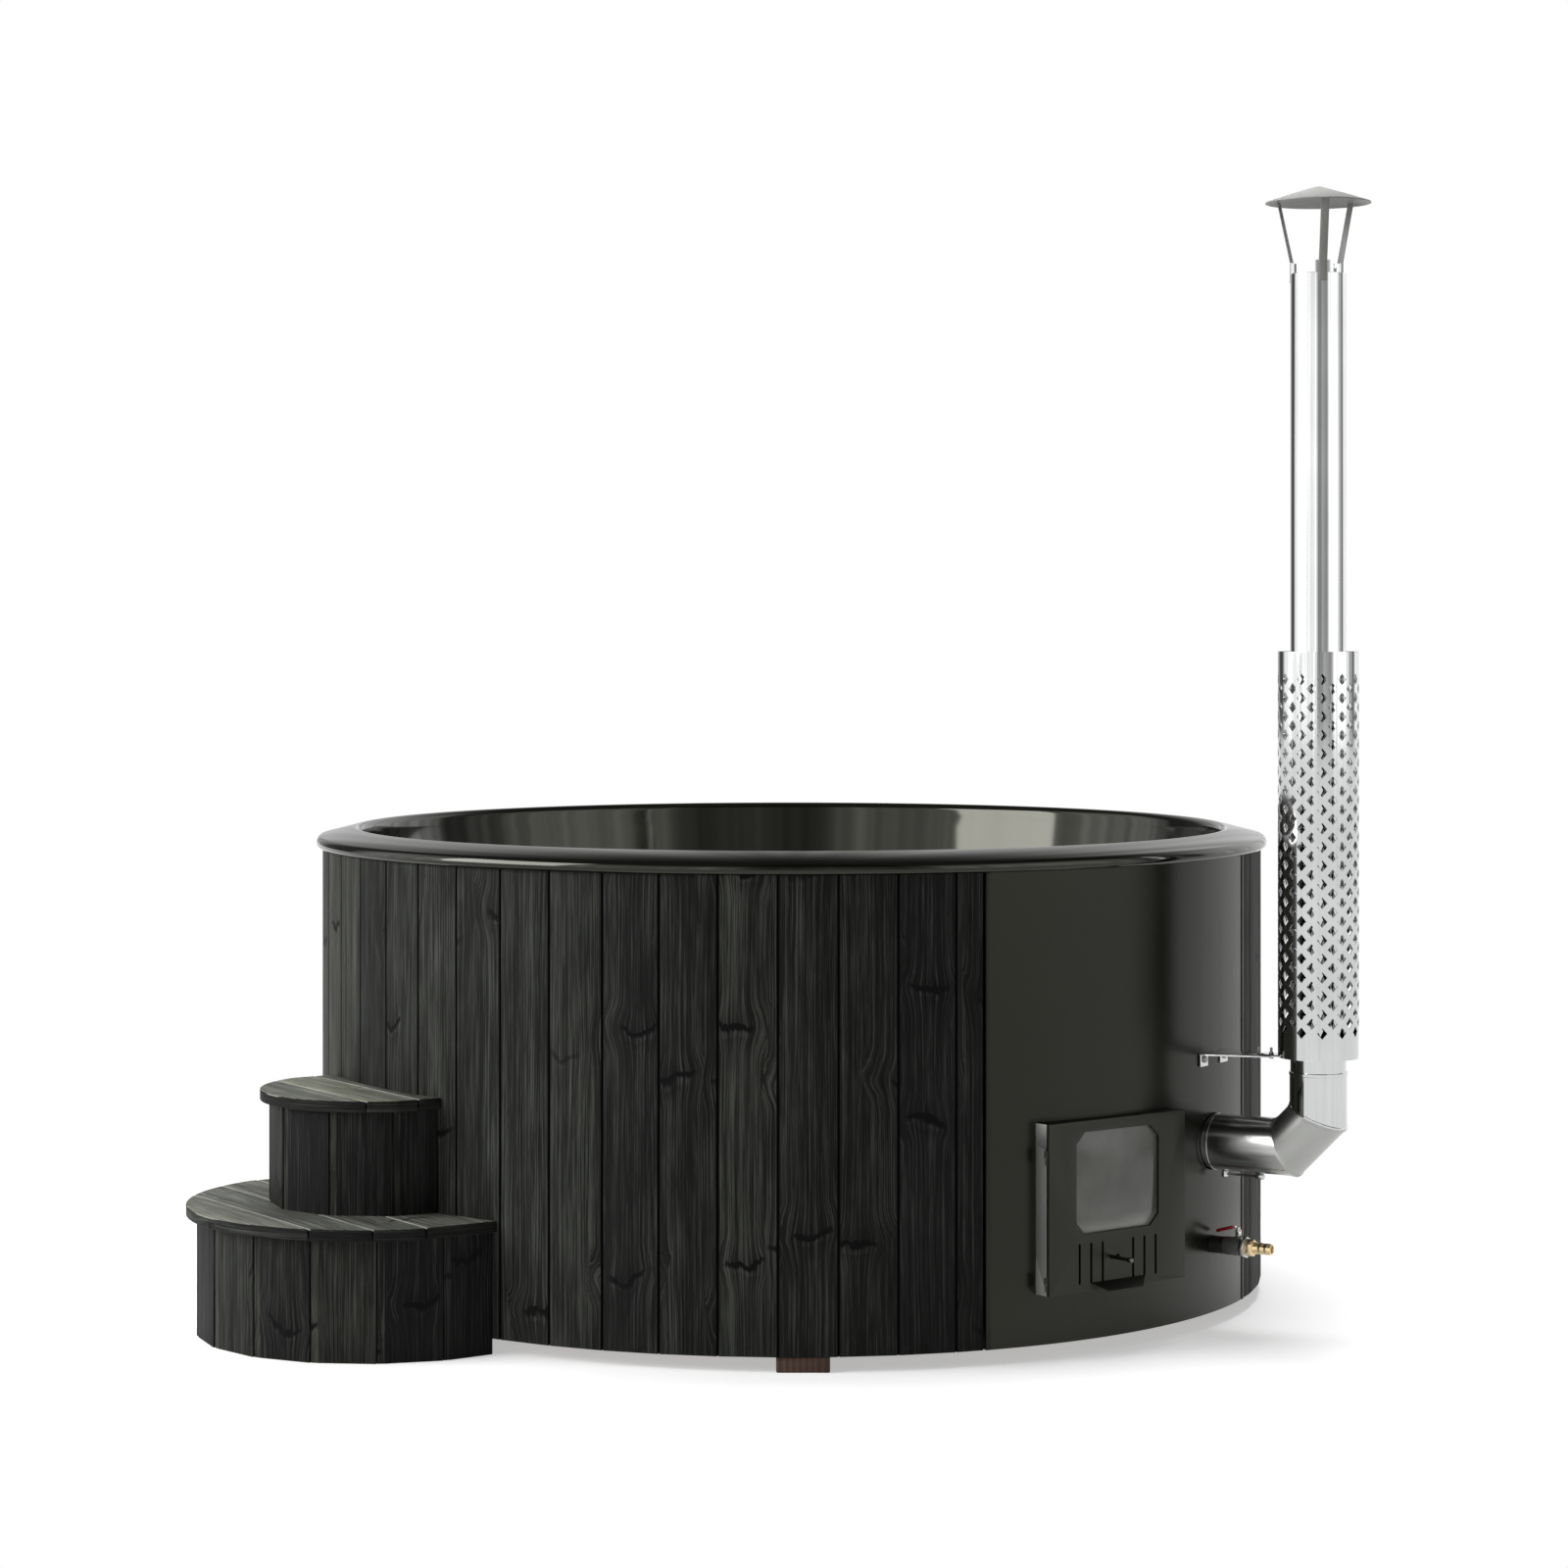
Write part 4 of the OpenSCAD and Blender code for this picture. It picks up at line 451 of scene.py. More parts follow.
# %% All finishes
finishes = {
    "black_spruce": wall_spruce,
    "step_spruce": step_spruce,
    # Fresh from the saw: pale and matt
    "timber": timber("sawn timber", "#9c7a4c", "#c9a671"),
    # Soaked against rot: dark brown, with faint rings
    "skid_timber": timber("impregnated timber", "#33231d", "#5a4234", 0.8),
    # Sprayed on: cream, matt and lumpy
    "foam": coated("cream foam", "#cdbb82", 0.9, 160.0, 0.0012),
    # Laid up in a polished mould: deep black, nearly a mirror, with slow waves
    "gelcoat": coated("black gelcoat", "#0b0c09", 0.08, 90.0, 0.00001, coat=0.05, vary=0.05, level=0.4),
    # Bent from glossy sheet: black with soft, wide reflections
    "black_sheet": coated("glossy black sheet", "#10120a", 0.24, 60.0, 0.00003, vary=0.05, level=0.28),
    # Painted strips and screw heads: black, with hardly a highlight
    "black_trim": coated("black trim", "#0c0c0b", 0.4, level=0.25),
    # Rolled plate: grey, with faint upright lines
    "jacket_steel": metal("welded steel", "#9fa1a1", 0.36, (1, 1, 0.05)),
    # Scaled by fire: brown-grey and blotchy
    "fire_steel": metal("heat-worn plate", "#4c4a47", 0.6, vary=0.3),
    # Cast in sand: dark and rough, and too dull to draw as a metal
    "grate_iron": coated("cast iron", "#232322", 0.7, 900.0, 0.0004, vary=0.2),
    # Sprayed for heat: black with a soft sheen
    "stove_black": coated("black stove paint", "#0d0e0b", 0.38, 1200.0, 0.0001, level=0.32),
    # Polished along its length: mirrors the room in upright streaks
    "mirror_steel": metal("polished stainless steel", "#d6d7d7", 0.07, (1, 1, 0.02), 0.00001, 0.3, 120.0),
    # Ground and left: light grey with blurred reflections
    "satin_steel": metal("satin stainless steel", "#c6c7c5", 0.22, (1, 1, 1), 0.00001),
    # Plated in a bath: dull grey
    "zinc_steel": metal("zinc-plated steel", "#9b9c99", 0.45, vary=0.1),
    # Moulded: dark, with a half gloss
    "drain_plastic": coated("dark plastic", "#1a1a1b", 0.42, 700.0),
    # Blasted: so rough that it scatters light as paint does, and it is drawn that way
    "valve_metal": coated("blasted nickel casting", "#5e5e5d", 0.42, 260.0, 0.0006, vary=0.25),
    # Plated and buffed: light, with short clear highlights
    "valve_bright": metal("bright nickel", "#bdbdb8", 0.22, vary=0.12),
    # Turned on a lathe: warm yellow, with clear highlights
    "brass": metal("brass", "#e9d2a4", 0.27, vary=0.15),
    # Dipped: strong red and smooth
    "red_vinyl": coated("red vinyl", "#a90f1c", 0.3, 300.0, coat=0.2),
    "fire_glass": stove_glass(),
    # Woven fibre: dusty and matt
    "rope": coated("woven rope seal", "#b5ae9b", 0.95, 900.0, 0.001),
}
# Gloss on black shows as a slightly green shine
for name in ("gelcoat", "black_sheet", "stove_black", "black_trim"):
    finishes[name].node_tree.nodes["Principled BSDF"].inputs["Specular Tint"].default_value = (1, 1, 0.86, 1)
for name, obj in frame["nodes"].items():
    for material_slot in obj.material_slots:
        material_slot.material = finishes[slot_of[name]]
print("finishes:", len(finishes))

# %% [markdown]
# ## Making pieces
# Every new piece rides on a CAD body, names its finish and stands for one or more CAD
# nodes. The turned frames of the CAD model are used again: the steps, the door and the
# flue each have a frame whose +X points outward from the middle of the tub. Boards are
# extruded point by point instead of with the extrude operator, because the grain map has
# to follow the outline from edge to edge.


# %% Piece helpers
weld = 0.000005


def new_piece(name, bm, slot, *nodes, body="tub", smooth=40):
    """Makes a piece from a bmesh: finish, body, and the CAD nodes it stands for."""
    bmesh.ops.remove_doubles(bm, verts=bm.verts, dist=weld)
    bmesh.ops.recalc_face_normals(bm, faces=bm.faces)
    mesh = bpy.data.meshes.new(name)
    bm.to_mesh(mesh)
    bm.free()
    mesh.shade_smooth()
    mesh.set_sharp_from_angle(angle=math.radians(smooth))
    mesh.materials.append(finishes[slot])
    piece = bpy.data.objects.new(name, mesh)
    bpy.context.scene.collection.objects.link(piece)
    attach(piece, body)
    if nodes:
        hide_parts(*nodes)
    return piece


def out_at(phi):
    """The frame whose +X points outward in direction phi, in degrees from the front."""
    return Matrix.Rotation(math.radians(phi - 90), 4, "Z")


def arc(cx, cy, r, a0, a1, n):
    """Points on an arc in a profile, from a0 to a1 degrees in n steps."""
    turns = [math.radians(a0 + (a1 - a0) * i / n) for i in range(n + 1)]
    return [(cx + r * math.cos(t), cy + r * math.sin(t)) for t in turns]


def grained(bm):
    """The grain map and the tone number of a wooden piece, which on some faces also carries painted shade and
    highlight.
    """
    return bm.loops.layers.uv.new("grain"), bm.faces.layers.float.new("tone")


def prism(bm, outline, z0, z1, turn, tone, layers):
    """Extrudes an outline of (x, y) points upright; u follows the outline and v the height."""
    chart, own = layers
    rows = [[bm.verts.new(turn @ Vector((x, y, z))) for x, y in outline] for z in (z0, z1)]
    faces = [bm.faces.new(rows[0][::-1]), bm.faces.new(rows[1])]
    for face, z in zip(faces, (z0, z1)):
        for loop in face.loops:
            spot = turn.inverted() @ loop.vert.co
            loop[chart].uv = (spot.y, z + spot.x)
    u = 0.0
    for i, (x, y) in enumerate(outline):
        j = (i + 1) % len(outline)
        step = math.hypot(outline[j][0] - x, outline[j][1] - y)
        face = bm.faces.new((rows[0][i], rows[0][j], rows[1][j], rows[1][i]))
        for loop, spot in zip(face.loops, ((u, z0), (u + step, z0), (u + step, z1), (u, z1))):
            loop[chart].uv = spot
        u += step
        faces.append(face)
    for face in faces:
        face[own] = tone
    return faces


def board_outline(face, a0, a1, thick, gap, groove, bevel=0.0):
    """Cross-section of a wall board with rounded front edges; bevel slants the left edge."""
    slit, round_r = 0.00003, 0.002
    low, high = face * math.tan(a0) + gap / 2, face * math.tan(a1) - gap / 2
    back_low, back_high = (face - groove) * math.tan(a0), (face - groove) * math.tan(a1)
    end_low, end_high = (face - thick) * math.tan(a0), (face - thick) * math.tan(a1)
    if bevel:
        points = [
            (face - 0.0035, low), (face - 0.0028, low + 0.0007), (face - 0.0004, low + bevel),
            (face, low + bevel + 0.0015),
        ]
    else:
        points = arc(face - round_r, low + round_r, round_r, -90, 0, 3)
    points += arc(face - round_r, high - round_r, round_r, 0, 90, 3)
    points += [
        (face - groove, back_high - gap / 2), (face - groove, back_high - slit),
        (face - thick, end_high - slit), (face - thick, end_low + slit),
        (face - groove, back_low + slit), (face - groove, back_low + gap / 2),
    ]
    return points


# %% [markdown]
# ### Wall boards
# On the real tub each board is planed with a rounded edge, and pairs of edges make the
# dark groove that shows as a thin line. Fifty-five boards would close the circle, and the
# cover panel takes the place of seven. They are shared out over four nodes, as in the CAD
# model.

# %% Wall boards
tub_r, base_z, wall_h = 1.1, 0.033, 0.998
panel_start, panel_end, seam, pitch = 21.4, 67.3, -1.55, 360 / 55
front_face = 5
half = math.radians(pitch / 2)
face_r = tub_r * math.cos(half)
first = math.floor((panel_end - seam) / pitch)
last = math.ceil((panel_start + 360 - seam) / pitch) - 1
quarter = (last + 1 - first) / 4
chance = random.Random(7)
for part, name in enumerate(("right", "rear", "left", "front")):
    bm = bmesh.new()
    layers = grained(bm)
    start = first + math.floor(part * quarter + 0.5)
    for k in range(start, first + math.floor((part + 1) * quarter + 0.5)):
        middle = seam + (k + 0.5) * pitch
        a0 = max(-half, math.radians(panel_end - middle))
        a1 = min(half, math.radians(panel_start + 360 - middle))
        if a1 - a0 > math.radians(pitch) * 0.15:
            outline = board_outline(face_r, a0, a1, thick=0.021, gap=0.003, groove=0.007)
            # The boards near the steps get higher tone numbers: the bluer hue is their own, the darkening is
            # painted shade
            shaded_and_bluer = -50 < middle < 22
            tone = chance.uniform(0.45, 1.0) if shaded_and_bluer else chance.uniform(0.0, 0.65)
            faces = prism(bm, outline, base_z, base_z + wall_h, out_at(middle), tone, layers)
            # Painted shade: the grooves and the turn of the edges beside them are drawn dark, as
            # shadow falls in them. The two ends and three narrow faces come before the front face
            for face in faces[2:front_face] + faces[front_face + 1 :]:
                face[layers[1]] = tone + 1.8
    new_piece(f"boards_{name}", bm, "black_spruce", f"cladding_{name}")
print("wall boards from", first, "to", last)


# %% [markdown]
# ### The walls of the steps
# Both walls are rings of flat boards that end at the tub. Each board has a slanted left
# edge that catches the light, so it is drawn paler than the rest. The end boards are cut
# with a plane where they would run into the tub, as a saw would do it.


# %% Step walls
steps_phi, steps_out = -56.3, 1.087
steps_at = out_at(steps_phi) @ Matrix.Translation((steps_out, 0, 0))
# Boards and planks stop just short of the tub's wall
hollow_r = 1.1003


def cut_at_tub(bm, faces, y):
    """Cuts a board off where it reaches the tub's round wall."""
    angle = math.asin(y / hollow_r)
    normal = out_at(steps_phi) @ Vector((math.cos(angle), math.sin(angle), 0))
    parts = list({v for f in faces for v in f.verts}) + list({e for f in faces for e in f.edges}) + faces
    cut = bmesh.ops.bisect_plane(
        bm, geom=parts, plane_co=normal * hollow_r, plane_no=normal, clear_inner=True
    )
    edges = [e for e in cut["geom_cut"] if isinstance(e, bmesh.types.BMEdge)]
    bmesh.ops.holes_fill(bm, edges=edges, sides=0)


def step_wall(name, r, count, angle, turn, z0, z1):
    """A ring of boards round the steps' centre, cut off at the tub."""
    bm = bmesh.new()
    layers = grained(bm)
    half = math.radians(angle / 2)
    slanted_face = 3
    for i in range(count):
        middle = math.radians(turn + (i + 0.5 - count / 2) * angle)
        outline = board_outline(
            r * math.cos(half), -half, half, thick=0.02, gap=0.003, groove=0.007, bevel=0.015
        )
        tone = chance.uniform(0.2, 0.9)
        faces = prism(bm, outline, z0, z1, steps_at @ Matrix.Rotation(middle, 4, "Z"), tone, layers)
        faces[slanted_face][layers[1]] = tone - 0.5
        if i in (0, count - 1):
            cut_at_tub(bm, faces, r * math.sin(middle))
    return new_piece(name, bm, "step_spruce", f"{name[:-6]}step_wall", smooth=25)


low_tread_top, up_tread_top, up_wall_top, up_wall_r = 0.284, 0.532, 0.508, 0.2455
up_count, up_angle, up_turn = 6, 32.9, 2.7
step_wall("lower_boards", 0.402, 10, 20.4, 0, 0, low_tread_top - 0.024)
step_wall("upper_boards", up_wall_r, up_count, up_angle, up_turn, low_tread_top, up_wall_top)
print("step walls:", up_wall_top, "m high at the top")

# %% [markdown]
# ### Treads
# Each tread is a row of planks across the way up, with a few millimetres of air between
# them for the water to run off. The outermost plank is sawn round to follow the wall, and
# the plank at the tub is hollowed to fit it. A bevel operator rounds every long edge at
# once. As painted light, the tops get a paler finish of their own, as if lit from above,
# and the rounded edges along the seams a paler one still, as painted highlights.


# %% Treads
plank_t, plank_gap, plank_edge = 0.024, 0.003, 0.0023


def plank_outline(near, far, r, half, hollow):
    """One plank from near to far, round where it ends the tread and hollow at the tub."""
    side = []
    for i in range(15):
        x = near + (far - near) * i / 14
        side.append((x, min(half, math.sqrt(max(r * r - max(x, 0) ** 2, 0)))))
    if far == r:
        side.pop()
        for i in range(1, 12):
            turn = math.asin(side[-1][1] / r) * (1 - i / 12)
            side.append((r * math.cos(turn), r * math.sin(turn)))
        side.append((r, 0.0))
    outline = side + [(x, -y) for x, y in reversed(side) if y > 0]
    if hollow:
        for i in range(1, 24):
            y = -half + 2 * half * i / 24
            outline.append((math.sqrt(hollow_r**2 - y * y) - steps_out, y))
    return outline


def tread(name, r, half, top, plank, first_seam):
    """Planks across the way up, cut round at the outer end and hollow at the tub."""
    bm = bmesh.new()
    layers = grained(bm)
    count = round((r - first_seam) / plank)
    limits = [(math.sqrt(hollow_r**2 - half**2) - steps_out, first_seam - plank_gap)]
    for k in range(count):
        far = first_seam + (k + 1) * plank - plank_gap if k < count - 1 else r
        limits.append((first_seam + k * plank, far))
    for i, (near, far) in enumerate(limits):
        outline = plank_outline(near, far, r, half, hollow=i == 0)
        faces = prism(bm, outline, top - plank_t, top, steps_at, chance.uniform(0.1, 0.7), layers)
        bmesh.ops.recalc_face_normals(bm, faces=faces)
        # The grain runs along the plank, on its top as on its edges
        for face in faces:
            for loop in face.loops:
                spot = steps_at.inverted() @ loop.vert.co
                around = math.atan2(spot.y, spot.x) * r
                loop[layers[0]].uv = (spot.z, around) if abs(face.normal.z) < 0.5 else (spot.x, spot.y)
    # Points that crowd at the corners would stop the bevel short, so they are merged first
    bmesh.ops.remove_doubles(bm, verts=bm.verts, dist=0.0008)
    edges = [e for e in bm.edges if e.calc_face_angle(0) > math.radians(50)]
    bmesh.ops.bevel(
        bm, geom=edges, offset=plank_edge, segments=3, profile=0.5, affect="EDGES", material=-1,
        clamp_overlap=True,
    )
    piece = new_piece(name, bm, "step_spruce", name[:-5] + "tread", smooth=30)
    # Painted light: the tops get the paler top finish, and the edges along the seams the
    # palest, as painted highlights
    piece.data.materials.append(top_lit_spruce)
    piece.data.materials.append(highlight_edge_spruce)
    along = steps_at.to_3x3() @ Vector((0, 1, 0))
    for face in piece.data.polygons:
        if face.normal.z > 0.99:
            face.material_index = 1
        elif face.normal.z > 0.2 and abs(face.normal.dot(along)) < 0.1:
            face.material_index = 2
    return piece


for name, r, half_width, top, plank, first_seam in (
    ("lower_steps", 0.424, 0.4055, low_tread_top, 0.106, 0.106),
    ("upper_steps", 0.264, 0.248, up_tread_top, 0.11, 0.04),
):
    piece = tread(name, r, half_width, top, plank, first_seam)
    print(name, "faces:", len(piece.data.polygons))

# %% [markdown]
# ### Step screws
# Two screws hold the top of each upper board. A screw head is a turned piece, so a small
# profile is spun round the screw's own axis. It is closed at the back, where the board
# hides it.

# %% Step screws
screw_z, screw_sides, clear_of_tub = 0.496, 16, 1.12
screw_x = up_wall_r * math.cos(math.radians(up_angle / 2)) + 0.0002
profile = [(-0.002, 0.0), (-0.002, 0.0045), (0.0002, 0.0045), (0.0006, 0.0038), (-0.0006, 0.0018),
           (-0.0012, 0.0)]
screws = 0
bm = bmesh.new()
for i in range(up_count):
    board_at = steps_at @ Matrix.Rotation(math.radians(up_turn + (i - 2.5) * up_angle), 4, "Z")
    for y in (-0.045, 0.03):
        place = board_at @ Matrix.Translation((screw_x, y, screw_z))
        if place.translation.xy.length < clear_of_tub:
            continue
        verts = [bm.verts.new(place @ Vector((x, r, 0))) for x, r in profile]
        edges = [bm.edges.new(pair) for pair in zip(verts, verts[1:])]
        bmesh.ops.spin(
            bm, geom=verts + edges, cent=place.translation, axis=place.to_3x3() @ Vector((1, 0, 0)),
            dvec=(0, 0, 0), angle=2 * math.pi, steps=screw_sides, use_merge=True, use_duplicate=False,
        )
        screws += 1
new_piece("step_screws", bm, "black_trim")
print("step screws:", screws)


# %% [markdown]
# ### Liner
# The real liner is one moulding: the rim's roll, the back wall, the bench and the foot
# well. Its profile is turned once round with closely spaced points, so the rim's roll
# reflects the room without flat spots.


# %% Liner
def turned(profile, steps, place=None, closed=True):
    """Spins a profile of (radius, height) points once round an upright axis."""
    bm = bmesh.new()
    place = place or Matrix.Identity(4)
    verts = [bm.verts.new(place @ Vector((r, 0, z))) for r, z in profile]
    edges = [bm.edges.new((a, b)) for a, b in zip(verts, verts[1:])]
    if closed:
        edges.append(bm.edges.new((verts[-1], verts[0])))
    axis = place.to_3x3() @ Vector((0, 0, 1))
    bmesh.ops.spin(
        bm, geom=verts + edges, cent=place.translation, axis=axis, dvec=(0, 0, 0), angle=2 * math.pi,
        steps=steps, use_merge=True, use_duplicate=False,
    )
    bmesh.ops.remove_doubles(bm, verts=bm.verts, dist=weld)
    return bm


floor_z, bench_z, top_z, crest_z, shell_t = 0.16, 0.56, 1.031, 1.076, 0.008
well_r, bench_r, rim_r, skirt_r, lip_r = 0.56, 0.95, 1.008, 1.0772, tub_r + 0.013
# Radii of the bends at the well's floor, the bench's edge, the bench's back and the rim
floor_bend, edge_bend, back_bend, roll = 0.02, 0.03, 0.045, 0.017
edge_r = well_r + 0.012 + edge_bend
inside = [(0, floor_z)] + arc(well_r - floor_bend, floor_z + floor_bend, floor_bend, -90, 0, 8)
inside += arc(edge_r, bench_z - edge_bend, edge_bend, 180, 90, 10)
inside += arc(bench_r - back_bend, bench_z + back_bend, back_bend, -90, 0, 10)
inside += [(rim_r - 0.004, top_z - 0.014)]
rim = [(rim_r, top_z + 0.014)] + arc(rim_r + roll, crest_z - roll, roll, 170, 80, 10)
rim += arc(lip_r - roll, crest_z - 2 * roll, roll, 62, 0, 8)
rim += [(lip_r, top_z + 0.0057), (tub_r + 0.0073, top_z), (skirt_r, top_z)]
rim += [(skirt_r, top_z + shell_t), (rim_r + 2 * roll, top_z + shell_t)]
under = [(rim_r + shell_t, top_z - 0.014)]
under += arc(bench_r - back_bend, bench_z + back_bend, back_bend + shell_t, 0, -90, 10)
under += arc(edge_r, bench_z - edge_bend, edge_bend - shell_t, 90, 180, 10)
under += arc(well_r - floor_bend, floor_z + floor_bend, floor_bend + shell_t, 0, -90, 8)
under += [(0, floor_z - shell_t)]
new_piece("moulded_liner", turned(inside + rim + under, 240, closed=False), "gelcoat", "liner", smooth=50)
print("liner rim at", round(lip_r, 4), "m")

# %% [markdown]
# ### Pipe and rain cap
# The pipe is rolled steel with a mirror polish, and every flat spot would show in its
# reflections, so it is turned with many sides. Three tabs at its top carry the cap's
# straps. The cap is a shallow cone of duller steel with a folded rim.

# %% Pipe and rain cap
flue_phi, chimney_out = 57.5, 1.3525
flue = out_at(flue_phi)
chimney = flue @ Matrix.Translation((chimney_out, 0, 0))
pipe_r, bore_r, pipe_low, pipe_top = 0.06, 0.0585, 0.5305, 2.308
pipe = [(bore_r, pipe_low), (pipe_r, pipe_low), (pipe_r, 1.4), (pipe_r, pipe_top - 0.001)]
pipe += [(0.0596, pipe_top), (0.0589, pipe_top), (bore_r, pipe_top - 0.001), (bore_r, 1.4)]
bm = turned(pipe, 128, chimney)
tab_low, tab_high = 2.3, 2.334
for turn in (64, 184, 304):
    corners = ((pipe_r, tab_low), (pipe_r, tab_high), (bore_r, tab_high), (bore_r, tab_low))
    tab = []
    for aside in (-16, -8, 0, 8, 16):
        turned_at = chimney @ Matrix.Rotation(math.radians(turn + aside), 4, "Z")
        tab += [bm.verts.new(turned_at @ Vector((r, 0, z))) for r, z in corners]
    for i in range(0, 16, 4):
        low, high = tab[i : i + 4], tab[i + 4 : i + 8]
        for a, b in ((0, 1), (1, 2), (2, 3), (3, 0)):
            bm.faces.new((low[a], low[b], high[b], high[a]))
    bm.faces.new(tab[:4])
    bm.faces.new(tab[-4:])
new_piece("smooth_pipe", bm, "mirror_steel", "chimney_pipe", smooth=30)
# The cap's profile runs over the folded rim and up to the tip, then back down inside
cap = [(0.113, 2.462), (0.1137, 2.4612), (0.1137, 2.4632), (0.113, 2.464), (0.06, 2.4812)]
cap += [(0.006, 2.4978), (0.002, 2.498), (0, 2.498)]
cap += [(0, 2.4963), (0.002, 2.4963), (0.006, 2.4961), (0.06, 2.4795)]
# Steel that has stood in smoke and rain: grey, and too dull to draw as a metal
cap_steel = coated("weathered steel", "#8b8c89", 0.45, vary=0.1)
rain_cap = new_piece("turned_cap", turned(cap, 128, chimney), "satin_steel", "rain_cap", smooth=40)
rain_cap.data.materials[0] = cap_steel
print("pipe from", pipe_low, "to", pipe_top, "m")

# %% [markdown]
# ### Elbow
# The real elbow is three short lengths of pipe joined by folded seams, with a socket at
# each end. Rings of points are set square to each leg, or on the slanted plane of a fold,
# and a bridge joins each ring to the next. The slanted leg is drawn in a darker, duller
# steel, while the upright leg is as polished as the pipe.

# %% Elbow rings
bm = bmesh.new()
flue_z, fold_out, fold_z, ring_points = 0.41, 1.2805, 0.482, 96
inner_r, collar_r, leg_r, fold_r = 0.0603, 0.0624, 0.0618, 0.0632
outward, upward = Vector((1, 0, 0)), Vector((0, 0, 1))
slope, across_slope = Vector((1, 0, 1)).normalized(), Vector((-1, 0, 1)).normalized()
legs = [(outward, upward), (slope, across_slope), (upward, -outward)]
folds = [Vector((fold_out, 0, flue_z)), Vector((chimney_out, 0, fold_z))]


def elbow_ring(centre, leg, r, plane=None):
    """A ring of edges round a leg of the elbow, on a square or a slanted plane."""
    along, up = legs[leg]
    ring = []
    for i in range(ring_points):
        turn = 2 * math.pi * i / ring_points
        spot = centre + r * (math.cos(turn) * up + math.sin(turn) * Vector((0, 1, 0)))
        if plane:
            normal = (legs[plane[0]][0] + legs[plane[1]][0]).normalized()
            spot -= along * ((spot - centre).dot(normal) / along.dot(normal))
        ring.append(bm.verts.new(flue @ spot))
    return [bm.edges.new(pair) for pair in zip(ring, ring[1:] + ring[:1])]


# %% Elbow
lower_collar = ((1.1085, inner_r), (1.1085, 0.0617), (1.109, collar_r), (1.1137, collar_r), (1.1145, leg_r))
rings = [elbow_ring(Vector((x, 0, flue_z)), 0, r) for x, r in lower_collar]
fold = ((-0.0055, leg_r), (-0.0045, fold_r), (-0.001, fold_r))
fold += tuple((-step, r) for step, r in reversed(fold))
for before in (0, 1):
    for step, r in fold:
        leg = before + (step > 0)
        rings.append(elbow_ring(folds[before] + step * legs[leg][0], leg, r, (before, before + 1)))
upper_collar = ((0.572, leg_r), (0.573, 0.063), (0.579, 0.063), (0.58, collar_r), (0.5805, inner_r))
rings += [elbow_ring(Vector((chimney_out, 0, z)), 2, r) for z, r in upper_collar]
# The inner wall runs back through both folds to the first ring
rings += [elbow_ring(folds[1], 2, inner_r, (1, 2)), elbow_ring(folds[0], 1, inner_r, (0, 1)), rings[0]]
middle_start, upright_start = 8, 14
for k, (low, high) in enumerate(zip(rings, rings[1:])):
    for face in bmesh.ops.bridge_loops(bm, edges=low + high)["faces"]:
        face.material_index = 0 if k < middle_start else 1 if k < upright_start else 2
elbow = new_piece("seamed_elbow", bm, "satin_steel", "flue_elbow", smooth=25)
# Darker than the pipe, with blurred reflections
elbow.data.materials.append(metal("dull dark flue steel", "#a2a3a0", 0.34, (1, 1, 1), 0.00001))
elbow.data.materials.append(finishes["mirror_steel"])
print("elbow faces:", len(elbow.data.polygons))

# %% [markdown]
# ### Heat guard
# A sleeve of thin polished sheet keeps hands off the hot pipe. Its diamond holes let the
# heat out, and every second column is shifted by half a cell. Cutting more than four
# hundred holes with booleans is slow and leaves slivers, so the sleeve is a net of small
# faces with a diamond left out of each cell. Solidify gives it the thickness of the sheet.

# %% Heat guard net
bm = bmesh.new()
guard_r, guard_columns, guard_low, guard_high = 0.087, 24, 0.611, 1.49
hole_half_w, hole_half_h, cell_h, hole_rows, first_hole_z = 0.011, 0.0125, 0.04, 20, 0.6705
sector = 2 * math.pi / guard_columns
flat = guard_r * sector / 2
net_columns = [-flat, -hole_half_w, -0.0073, -0.0037, 0, 0.0037, 0.0073, hole_half_w]
net_low, net_high = first_hole_z - cell_h / 2, first_hole_z + cell_h * (hole_rows - 0.5)
known = {}


def guard_point(column, x, z):
    """A shared point of the guard's net."""
    key = (column % (guard_columns * len(net_columns)), round(z, 5))
    if key not in known:
        turn = x / guard_r
        spot = Vector((guard_r * math.cos(turn), guard_r * math.sin(turn), z))
        known[key] = bm.verts.new(chimney @ spot)
    return known[key]


def guard_face(*corners):
    """A face of the net; corners that fall together are counted once."""
    verts = list(dict.fromkeys(corners))
    if len(verts) > 2:
        bm.faces.new(verts)


def guard_band(at, levels):
    """Plain faces between levels, above or below the holes."""
    for low, high in zip(levels, levels[1:]):
        guard_face(*(guard_point(*at[i], z) for i, z in ((0, low), (1, low), (1, high), (0, high))))


# %% Heat guard
for s in range(guard_columns):
    shifted = s % 2
    first_z = first_hole_z + cell_h / 2 * shifted
    for c, near_x in enumerate(net_columns):
        x = [near_x, net_columns[c + 1] if c + 1 < len(net_columns) else flat]
        number = s * len(net_columns) + c
        at = [(number + i, s * sector * guard_r + x[i]) for i in (0, 1)]
        reach = [max(0, hole_half_h * (1 - abs(v) / hole_half_w)) for v in x]
        guard_band(at, [guard_low, net_low] + [first_hole_z] * shifted)
        for row in range(hole_rows - shifted):
            z = first_z + cell_h * row
            below = [guard_point(*at[i], z - cell_h / 2) for i in (0, 1)]
            above = [guard_point(*at[i], z + cell_h / 2) for i in (0, 1)]
            lower = [guard_point(*at[i], z - reach[i]) for i in (0, 1)]
            upper = [guard_point(*at[i], z + reach[i]) for i in (0, 1)]
            guard_face(below[0], below[1], lower[1], lower[0])
            guard_face(upper[0], upper[1], above[1], above[0])
        guard_band(at, [net_high - cell_h / 2] * shifted + [net_high, guard_high])
bmesh.ops.recalc_face_normals(bm, faces=bm.faces)
bmesh.ops.solidify(bm, geom=bm.faces[:], thickness=0.0015)
